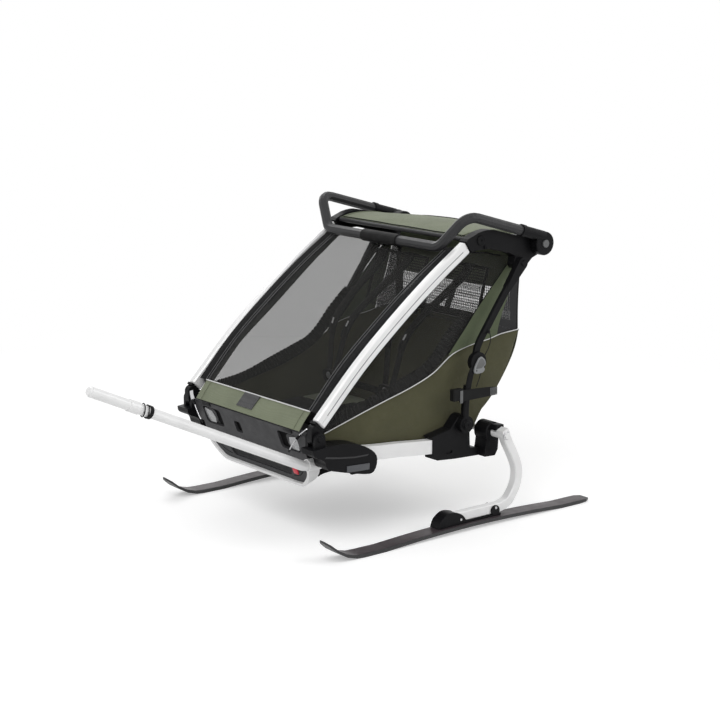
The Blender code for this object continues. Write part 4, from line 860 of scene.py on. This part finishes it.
def inset(piece, centre, along, front, reach, half):
    """Give the middle field between the sewn channels its own cloth."""
    piece.data.materials.append(SAGE)
    for face in piece.data.polygons:
        from_centre = face.center - centre
        inside = reach[0] < from_centre.dot(along) < reach[1] and abs(from_centre.x) < half
        if inside and face.normal.dot(front) > 0.2:
            face.material_index = 1


def trim(piece, spot, up):
    """Cut a pad off above a plane, and close it there."""
    shape = bmesh.new()
    shape.from_mesh(piece.data)
    cut = bmesh.ops.bisect_plane(shape, geom=shape.verts[:] + shape.edges[:] + shape.faces[:],
                                 plane_co=spot, plane_no=up, clear_outer=True)
    bmesh.ops.edgeloop_fill(shape, edges=[e for e in cut["geom_cut"]
                                          if isinstance(e, bmesh.types.BMEdge)])
    shape.to_mesh(piece.data)
    shape.free()


def box_centre(node_name):
    low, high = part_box(node_name)
    return (Vector(low) + Vector(high)) / 2


def both_pads(stem, node_stem, left, body, centre, along, front, reach, half):
    """Finish the left pad, and its mirror image on the right."""
    mesh = left.data.copy()
    mesh.transform(Matrix.Scale(-1, 4, (1, 0, 0)))
    mesh.flip_normals()
    right = new_object(stem + "_right", mesh)
    for piece, side, sign in ((left, "left", 1), (right, "right", -1)):
        finish_pad(piece, body)
        inset(piece, Vector((sign * centre.x, centre.y, centre.z)), along, front, reach, half)
        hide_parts(node_stem + "_" + side)


def seats():
    ahead, up = Vector((0, 1, 0)), Vector((0, 0, 1))
    cushion = copy_solid("seat_pad_left", "seat_cushion_left")
    inflate(cushion, 0.955)
    cushion_centre = box_centre("seat_cushion_left")
    sew(cushion, (-0.045, 0.045), (), 0.0035, cushion_centre, ahead)
    floor_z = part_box("seat_cushion_left")[0][2]
    for vertex in cushion.data.vertices:
        vertex.co.z = max(vertex.co.z, floor_z)
    back = copy_solid("back_pad_left", "seat_back_left")
    trim(back, place(0.0, 0.592, 0.606), BACK_UP)
    inflate(back, 0.965)
    back_centre = box_centre("seat_back_left")
    sew(back, (-0.08, 0.055), (-0.075, 0.075), 0.0030, back_centre, BACK_UP)
    both_pads("seat_pad", "seat_cushion", cushion, "base", cushion_centre, ahead, up,
              (-0.045, 0.13), 0.090)
    both_pads("back_pad", "seat_back", back, SOFT, back_centre, BACK_UP,
              Vector((0, -BACK_UP.z, BACK_UP.y)), (-0.19, 0.055), 0.075)


def back_netting(side, sign):
    """The open upper part of a seat back, with its bound edge."""
    low, high = Vector((0.592, 0.600)), Vector((0.6445, 0.7835))
    rows = grid([low.lerp(high, k / 12) for k in range(13)], 16, lambda p, t, index: place(
        sign * (0.016 + 0.264 * t), p.x + 0.004 * half_wave(t), p.y))
    edge = [row[0] for row in rows] + rows[-1][1:-1] + [row[-1] for row in rows[::-1]]
    roll = rope_piece("back_net_edge_" + side, edge, 0.0050, BLACK)
    sheet_piece("back_netting_" + side, rows, NET, NET_THICK,
                stands_for="seat_back_" + side)


def harness(side, sign):
    """Padded shoulder straps, webbing, buckle and crotch strap of one seat."""
    buckle = Vector((0.341, 0.406))
    top = Vector((0.640, 0.790))
    up = Vector((BACK_UP.y, BACK_UP.z))
    ahead = Vector((-up.y, up.x))
    crest = top + up * 0.0022
    line = smooth([crest - ahead * 0.010, crest + ahead * 0.008, crest + ahead * 0.022 - up * 0.007,
                   top + ahead * 0.029 - up * 0.045, buckle + Vector((0.060, 0.190)),
                   buckle + Vector((0.010, 0.040)), buckle + Vector((0.003, 0.010))], 8)
    for which, lean in (("inner", -1), ("outer", 1)):
        def spot(p, lift=0.0):
            grow = 0.0145 + 0.143 * (p.y - buckle.y)
            return at(sign * (SEAT_X + lean * grow), p + Vector((-0.95, 0.3)) * lift)
        web = strap_piece(f"harness_web_{which}_{side}", [spot(p) for p in line], 0.025, WEB,
                          0.0016)
        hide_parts("harness_" + side)
        pad_line = [p for p in line[10:] if p.y > 0.52]
        rows = []
        for index, p in enumerate(pad_line):
            t = index / (len(pad_line) - 1)
            wide = 0.021 * (0.80 + 0.20 * half_wave(min(1, 0.15 + t)))
            rows.append([spot(p, 0.004 + 0.0035 * math.sqrt(max(0.0, 1 - (k / 4 - 1) ** 2)))
                         + Vector((wide * (k / 4 - 1), 0, 0)) for k in range(9)])
        pad = cloth_piece(f"shoulder_pad_{which}_{side}", rows, BLACK, 0.006)
        middle = min(range(len(pad_line)), key=lambda k: abs(pad_line[k].y - 0.575))
        toward = (pad_line[middle + 1] - pad_line[middle]).normalized() * 0.010
        mark = [spot(pad_line[middle] + toward * k, 0.0095) for k in (-1, -0.3, 0.3, 1)]
        strap_piece(f"shoulder_mark_{which}_{side}", mark, 0.007, PIPING, 0.0008)
        hip = [place(sign * (SEAT_X + lean * x), y, z)
               for x, y, z in ((0.030, 0.338, 0.402), (0.072, 0.372, 0.386), (0.108, 0.425, 0.366),
                               (0.122, 0.474, 0.346))]
        strap_piece(f"hip_strap_{which}_{side}", smooth(hip), 0.022, WEB, 0.0018,
                    (0, 0.25, 1))
    outline = []
    for k in range(24):
        t = 2 * math.pi * k / 24
        c, s = math.cos(t), math.sin(t)
        outline.append(Vector((sign * SEAT_X + 0.034 * math.copysign(abs(c) ** 0.6, c), 0,
                               0.406 + (0.021 - 0.004 * s) * math.copysign(abs(s) ** 0.6, s))))
    slab("harness_buckle_" + side, outline, Vector((0, 0.329 + SHIFT_Y, 0)),
         Vector((0, 0.343 + SHIFT_Y, 0)), PLASTIC, SOFT, 0.003)
    turned_piece("harness_release_" + side, place(sign * SEAT_X, 0.330, 0.406), (0, -1, 0),
                 [(0.011, -0.001), (0.011, 0.002), (0.0095, 0.0032), (0.004, 0.0036)], GREY, SOFT)
    tail = [at(sign * SEAT_X, p) for p in ((0.342, 0.394), (0.343, 0.366), (0.351, 0.336),
                                           (0.366, 0.3275), (0.392, 0.3265))]
    strap_piece("harness_crotch_" + side, smooth(tail, 5), 0.025, WEB, 0.0020)


# Fittings of the frame
def disc_with_rim(name, spot, out, radius, body):
    """A flat moulded disc with a raised rim and a small hole in its middle."""
    return turned_piece(name, spot, out,
                        [(radius, -0.001), (radius, 0.0026), (radius * 0.92, 0.0040),
                         (radius * 0.76, 0.0042), (radius * 0.68, 0.0030), (radius * 0.22, 0.0028),
                         (radius * 0.18, 0.0008)], PLASTIC, body)


def frame_fittings(side, sign):
    """Caps, screws and thin trim of the frame; outlines are (y, z)."""
    out = (sign, 0, 0)
    lower, upper = "lower_upright_" + side, "upper_upright_" + side
    for name, spot, radius, body in (("beam_cover_", (0.3522, 0.548, 0.891), 0.0165, UPPER),
                                     ("upright_foot_cap_", (0.3770, 0.481, 0.3145), 0.0150, "base"),
                                     ("beam_screw_", (0.3522, 0.566, 0.868), 0.0060, UPPER)):
        disc_with_rim(name + side, at(sign * spot[0], spot[1:]), out, radius, body)
    turned_piece("upright_catch_" + side, place(sign * 0.3724, 0.5655, 0.6030), out,
                 [(0.0062, -0.001), (0.0062, 0.0026), (0.0046, 0.0034), (0.0030, 0.0034),
                  (0.0026, 0.0014)], PLASTIC, upper, socket=6)
    for name, spot in (("front_", (0.381, 0.219)), ("rear_", (0.463, 0.216))):
        turned_piece("casting_screw_" + name + side, at(sign * 0.336, spot), (0, 0, -1),
                     [(0.0045, -0.006), (0.0062, 0.000), (0.0062, 0.005), (0.0045, 0.0075),
                      (0.0030, 0.0076), (0.0026, 0.004)], STEEL, "base", socket=6)
    # A grey cord along each arch's groove: painted shade in the groove.
    groove = [at(sign * 0.3478, p) for p in spread(smooth(ARCH_LINE), 60)[3:-2]]
    rope_piece("arch_groove_shade_" + side, groove, 0.0011, GROOVE_SHADE, UPPER, 8)

    # Knee: the cord that works the latch, in two lengths
    for name, ends, body in (
            ("upper_", [(0.5745, 0.6000), (0.5785, 0.5740), (0.5690, 0.5480), (0.5520, 0.5240)],
             upper),
            ("lower_", [(0.5420, 0.4860), (0.5340, 0.4590), (0.5215, 0.4310)], lower)):
        rope_piece("knee_cord_" + name + side, [at(sign * 0.3700, p) for p in smooth(ends, 5)],
                   0.0013, RUBBER, body, 8)

    # Rubber strap: grey clip, and the ribbed tip that the hand pulls
    side_slab("strap_clip_" + side, box_outline(0.4467, 0.3885, 0.4582, 0.4290), sign * STRAP_X,
              sign * (STRAP_X + 0.0026), GREY_DARK, lower)
    for k in range(6):
        y = 0.5745 + 0.0052 * k
        side_slab(f"strap_rib_{k}_{side}", box_outline(y, 0.3955, y + 0.0030, 0.4215),
                  sign * STRAP_X, sign * (STRAP_X + 0.0017), GREY_DARK, lower, 0.0006)

    # Pod: its reflector, and the ridge along its side, whose lighter grey is painted sheen
    side_slab("pod_reflector_" + side, [(0.0030, 0.2400), (0.0880, 0.2365), (0.0895, 0.2560),
                                        (0.0030, 0.2600)], sign * 0.3715, sign * 0.3748, LENS_DIM,
              "base", 0.0004)
    # The ridge's lighter grey is a painted highlight where the ridge catches the light.
    ridge = [(-0.078, 0.2960), (-0.0235, 0.2870), (0.036, 0.2800), (0.082, 0.2800), (0.088, 0.2845),
             (0.036, 0.2850), (-0.0235, 0.2920), (-0.074, 0.3010)]
    side_slab("pod_ridge_sheen_" + side, ridge, sign * 0.3705, sign * 0.3732, PANEL, "base")

    # Latch: a darker field inside its pale rim, given from the latch's own middle
    field = [(0.007, 0.0175), (-0.0026, 0.0138), (-0.0104, 0.0038), (-0.0167, -0.0064),
             (-0.0219, -0.018), (-0.0205, -0.0225), (0.0060, -0.0225), (0.0156, -0.0167),
             (0.0208, -0.0135), (0.0246, -0.0057), (0.0202, 0.0072)]
    side_slab("latch_field_" + side, [(0.5285 + 0.80 * y, 0.5088 + 0.80 * z) for y, z in field],
              sign * 0.3790, sign * 0.3801, GREY_DARK, "fold_latch_" + side, 0.0005)


# Front panel
def panel_slab(name, outline, low, high, material, edge=0.0008, body="base"):
    """A slab on the panel; its outline is (across, up), and low and high are heights over it."""
    ahead = on_panel(0, 0, 1.0) - on_panel(0, 0, 0.0)
    slab(name, [on_panel(x, up) for x, up in outline], ahead * low, ahead * high, material, body,
         edge)


def front_panel():
    lens = [(0.207, 0.1335), (0.201, 0.150), (0.211, 0.175), (0.247, 0.183), (0.253, 0.176),
            (0.2525, 0.158), (0.244, 0.1345), (0.236, 0.1315)]
    # The pit slabs lie at the bottom of the panel's recesses in near-black without gloss: painted
    # shade in the pits.
    pit = [(0.1575, 0.131), (0.1905, 0.131), (0.1965, 0.150), (0.2045, 0.1745), (0.2045, 0.1895),
           (0.1575, 0.1895)]
    pieces = [("lens_", lens, -0.0052, -0.0030, LENS, 0.0008)]
    pieces += [(f"lens_rib_{index}_", box_outline(x, 0.140, x + 0.0016, 0.174), -0.0034, -0.0024,
                LENS, 0.0004) for index, x in enumerate((0.214, 0.222, 0.230, 0.238))]
    pieces += [("pit_", pit, -0.0093, -0.0080, BLACK_AND_PIT_SHADE, 0.0),
               ("clip_", box_outline(0.200, 0.1970, 0.243, 0.2095), -0.0010, 0.0030, PLASTIC,
                0.0008)]
    frame_line = smooth([(0.092, 0.078), (0.084, 0.050), (0.091, 0.026), (0.185, 0.033),
                         (0.222, 0.052), (0.238, 0.076)], 5)
    for side, sign in SIDES:
        for name, outline, low, high, material, edge in pieces:
            panel_slab("panel_" + name + side, [(sign * x, up) for x, up in outline], low, high,
                       material, edge)
        path = [on_panel(sign * p.x, p.y, -0.0004) for p in frame_line if p.x > 0.168]
        rope_piece("panel_frame_line_" + side, path, 0.0012, BLACK_AND_PIT_SHADE, "base", 8)
    # Painted shade on the floor of the middle pit.
    panel_slab("panel_pit_middle", box_outline(-0.0865, 0.1305, -0.0535, 0.1695), -0.0093, -0.0080,
               BLACK_AND_PIT_SHADE, 0.0)
    panel_slab("panel_low_field", box_outline(-0.160, 0.034, 0.160, 0.082), -0.0047, -0.0036,
               PLASTIC, 0.0)
    tongue = [(0.188, 0.047), (0.210, 0.047), (0.211, 0.068), (0.187, 0.068)]
    panel_slab("release_tongue", tongue, 0.0050, 0.0095, RED, 0.001, "release_button")


# Skis, tow pole and lanyards
def ski_details(side, sign):
    tops = {}
    for vertex in frame["nodes"]["ski_" + side].data.vertices:
        key = round(vertex.co.y, 4)
        tops[key] = max(tops.get(key, -1.0), vertex.co.z)
    keys = sorted(tops)
    line = [Vector((0, key, tops[key])) for key in keys
            if keys[0] + 0.012 < key < keys[-1] - 0.004]
    rows = grid(spread(line, 60), 8, lambda p, t, index: Vector(
        (sign * SKI_X + 0.056 * (t - 0.5), p.y, p.z + 0.0006 + 0.0004 * (1 - (2 * t - 1) ** 2))))
    cloth_piece("ski_top_sheet_" + side, rows, SKI_TOP, 0.0008, "base")
    out = (sign, 0, 0)
    screw("mount_screw_front_" + side, place(sign * 0.4508, 0.3916, 0.0393), out, 0.0042, "base")
    screw("mount_screw_rear_" + side, place(sign * 0.4508, 0.538, 0.0507), out, 0.0046, "base")
    turned_piece("arm_washer_" + side, place(sign * 0.4448, 0.585, 0.277), out,
                 [(0.0142, -0.001), (0.0142, 0.0014), (0.0130, 0.0022), (0.0100, 0.0023)], STEEL,
                 "base")
    side_slab("axle_hub_lug_" + side, [(0.566, 0.2895), (0.603, 0.2895), (0.601, 0.3065),
                                       (0.571, 0.3065)], sign * 0.3848, sign * 0.4140, PLASTIC,
              "base", 0.002)


def pole_details():
    """Two slanting bands round the pole's joint."""
    slope = math.atan(0.462)
    ahead = Vector((0, -math.cos(slope), math.sin(slope)))
    across = Vector((1, 0, 0))
    up = ahead.cross(across)
    joint = place(0.2906, -0.097, 0.260) + ahead * 0.610
    for index, reach in enumerate((0.018, 0.004)):
        turns = [2 * math.pi * k / 24 for k in range(24)]
        ring = [joint - ahead * reach + across * math.cos(t) * 0.0185 + up * math.sin(t) * 0.0185
                + ahead * 0.006 * math.sin(t + 0.8) for t in turns]
        rope_piece(f"pole_band_{index}", ring, 0.0016, RUBBER, "tow_pole", 8, True)


def lanyard(side, sign):
    """The short stiff wire with a crimp and a bead at a front corner, and the tab it hangs on."""
    tab = [place(sign * x, y, z) for x, y, z in ((0.318, -0.100, 0.383), (0.306, -0.106, 0.372),
                                                 (0.293, -0.110, 0.361))]
    strap_piece("lanyard_tab_" + side, smooth(tab, 4), 0.011, STEEL, 0.0030, (0.2, 1, 0.2), "base")
    wire = smooth([place(sign * x, y, z) for x, y, z in (
        (0.296, -0.109, 0.3635), (0.281, -0.112, 0.348), (0.265, -0.114, 0.330),
        (0.249, -0.114, 0.311), (0.239, -0.112, 0.299))])
    rope_piece("lanyard_wire_" + side, wire, 0.0019, STEEL, "base", 8)
    rope_piece("lanyard_crimp_" + side, wire[2:8], 0.0048, PLASTIC, "base", 12)
    turned_piece("lanyard_bead_" + side, wire[-1], wire[-1] - wire[-3],
                 [(0.0030, -0.006), (0.0036, 0.0), (0.0028, 0.005)], PLASTIC, "base", 16)


seats()
for side, sign in SIDES:
    back_netting(side, sign)
    harness(side, sign)
    frame_fittings(side, sign)
    ski_details(side, sign)
    lanyard(side, sign)
front_panel()
pole_details()


# Camera, floor and light
def set_camera():
    """The photograph's camera: 51.85 degrees from the front, 11.90 degrees up."""
    azimuth, elevation = math.radians(51.85), math.radians(11.90)
    back = Vector((math.sin(azimuth) * math.cos(elevation),
                   -math.cos(azimuth) * math.cos(elevation), math.sin(elevation)))
    right = Vector((math.cos(azimuth), math.sin(azimuth), 0))
    turn = Matrix((right, back.cross(right), back)).transposed().to_4x4()
    camera = new_object("camera", bpy.data.cameras.new("camera"))
    camera.data.lens = 87.1
    camera.data.sensor_width = 36
    camera.data.clip_end = 50
    camera.matrix_world = Matrix.Translation((4.3513, -3.1364, 1.6446)) @ turn
    bpy.context.scene.camera = camera


def seen_directly(tree):
    """One for rays that come from the eye, a gloss or a glass, and nought for diffuse light."""
    path = node(tree, "LightPath").outputs
    seen = maths(tree, "MAXIMUM", path["Is Camera Ray"], path["Is Glossy Ray"])
    return maths(tree, "MAXIMUM", seen, path["Is Transmission Ray"])


def make_floor():
    """A pale floor that keeps the object's shadow and fades to plain white away from it."""
    mesh = bpy.data.meshes.new("floor")
    mesh.from_pydata([(*corner, 0) for corner in box_outline(-12, -12, 12, 12)], [],
                     [(0, 1, 2, 3)])
    floor = new_object("floor", mesh)
    floor.location.z = -0.0005
    made = bpy.data.materials.new("studio floor")
    tree = new_tree(made)
    seen = seen_directly(tree)
    matt = node(tree, "BsdfDiffuse", {"Color": (*grey(0.80), 1)})
    glow = node(tree, "Emission", {"Strength": maths(tree, "MULTIPLY", seen, 0.36)})
    near = node(tree, "AddShader", {0: matt.outputs[0], 1: glow.outputs[0]})
    far = node(tree, "Emission", {"Strength": seen})
    where = node(tree, "TexCoord").outputs["Object"]
    away = node(tree, "VectorMath", {0: where}, operation="LENGTH").outputs["Value"]
    share = maths(tree, "MULTIPLY", seen, ramp(tree, away, 0.9, 3.0))
    mixed = node(tree, "MixShader", {0: share, 1: near.outputs[0], 2: far.outputs[0]})
    node(tree, "OutputMaterial", {"Surface": mixed.outputs[0]})
    mesh.materials.append(made)


def make_world():
    world = bpy.data.worlds.new("studio")
    bpy.context.scene.world = world
    tree = new_tree(world)
    glow = ramp(tree, seen_directly(tree), 0.0, 1.0, 0.56, 1.0)
    sky = node(tree, "Background", {"Color": (*grey(1), 1), "Strength": glow})
    node(tree, "OutputWorld", {"Surface": sky.outputs[0]})


def set_lamps():
    aim = Vector((0, 0.1, 0.4))
    for name, spot, size, power in (("key", (2.2, -3.0, 4.2), 3.0, 105),
                                    ("fill", (3.5, 2.5, 2.6), 2.5, 40),
                                    ("rim", (-3.5, 1.0, 3.2), 2.5, 44)):
        lamp = bpy.data.lights.new(name, "AREA")
        lamp.size = size
        lamp.energy = power
        holder = new_object(name, lamp)
        holder.location = spot
        holder.rotation_euler = (aim - Vector(spot)).to_track_quat("-Z", "Y").to_euler()


set_camera()
make_floor()
make_world()
set_lamps()
bpy.context.scene.view_settings.view_transform = "Standard"
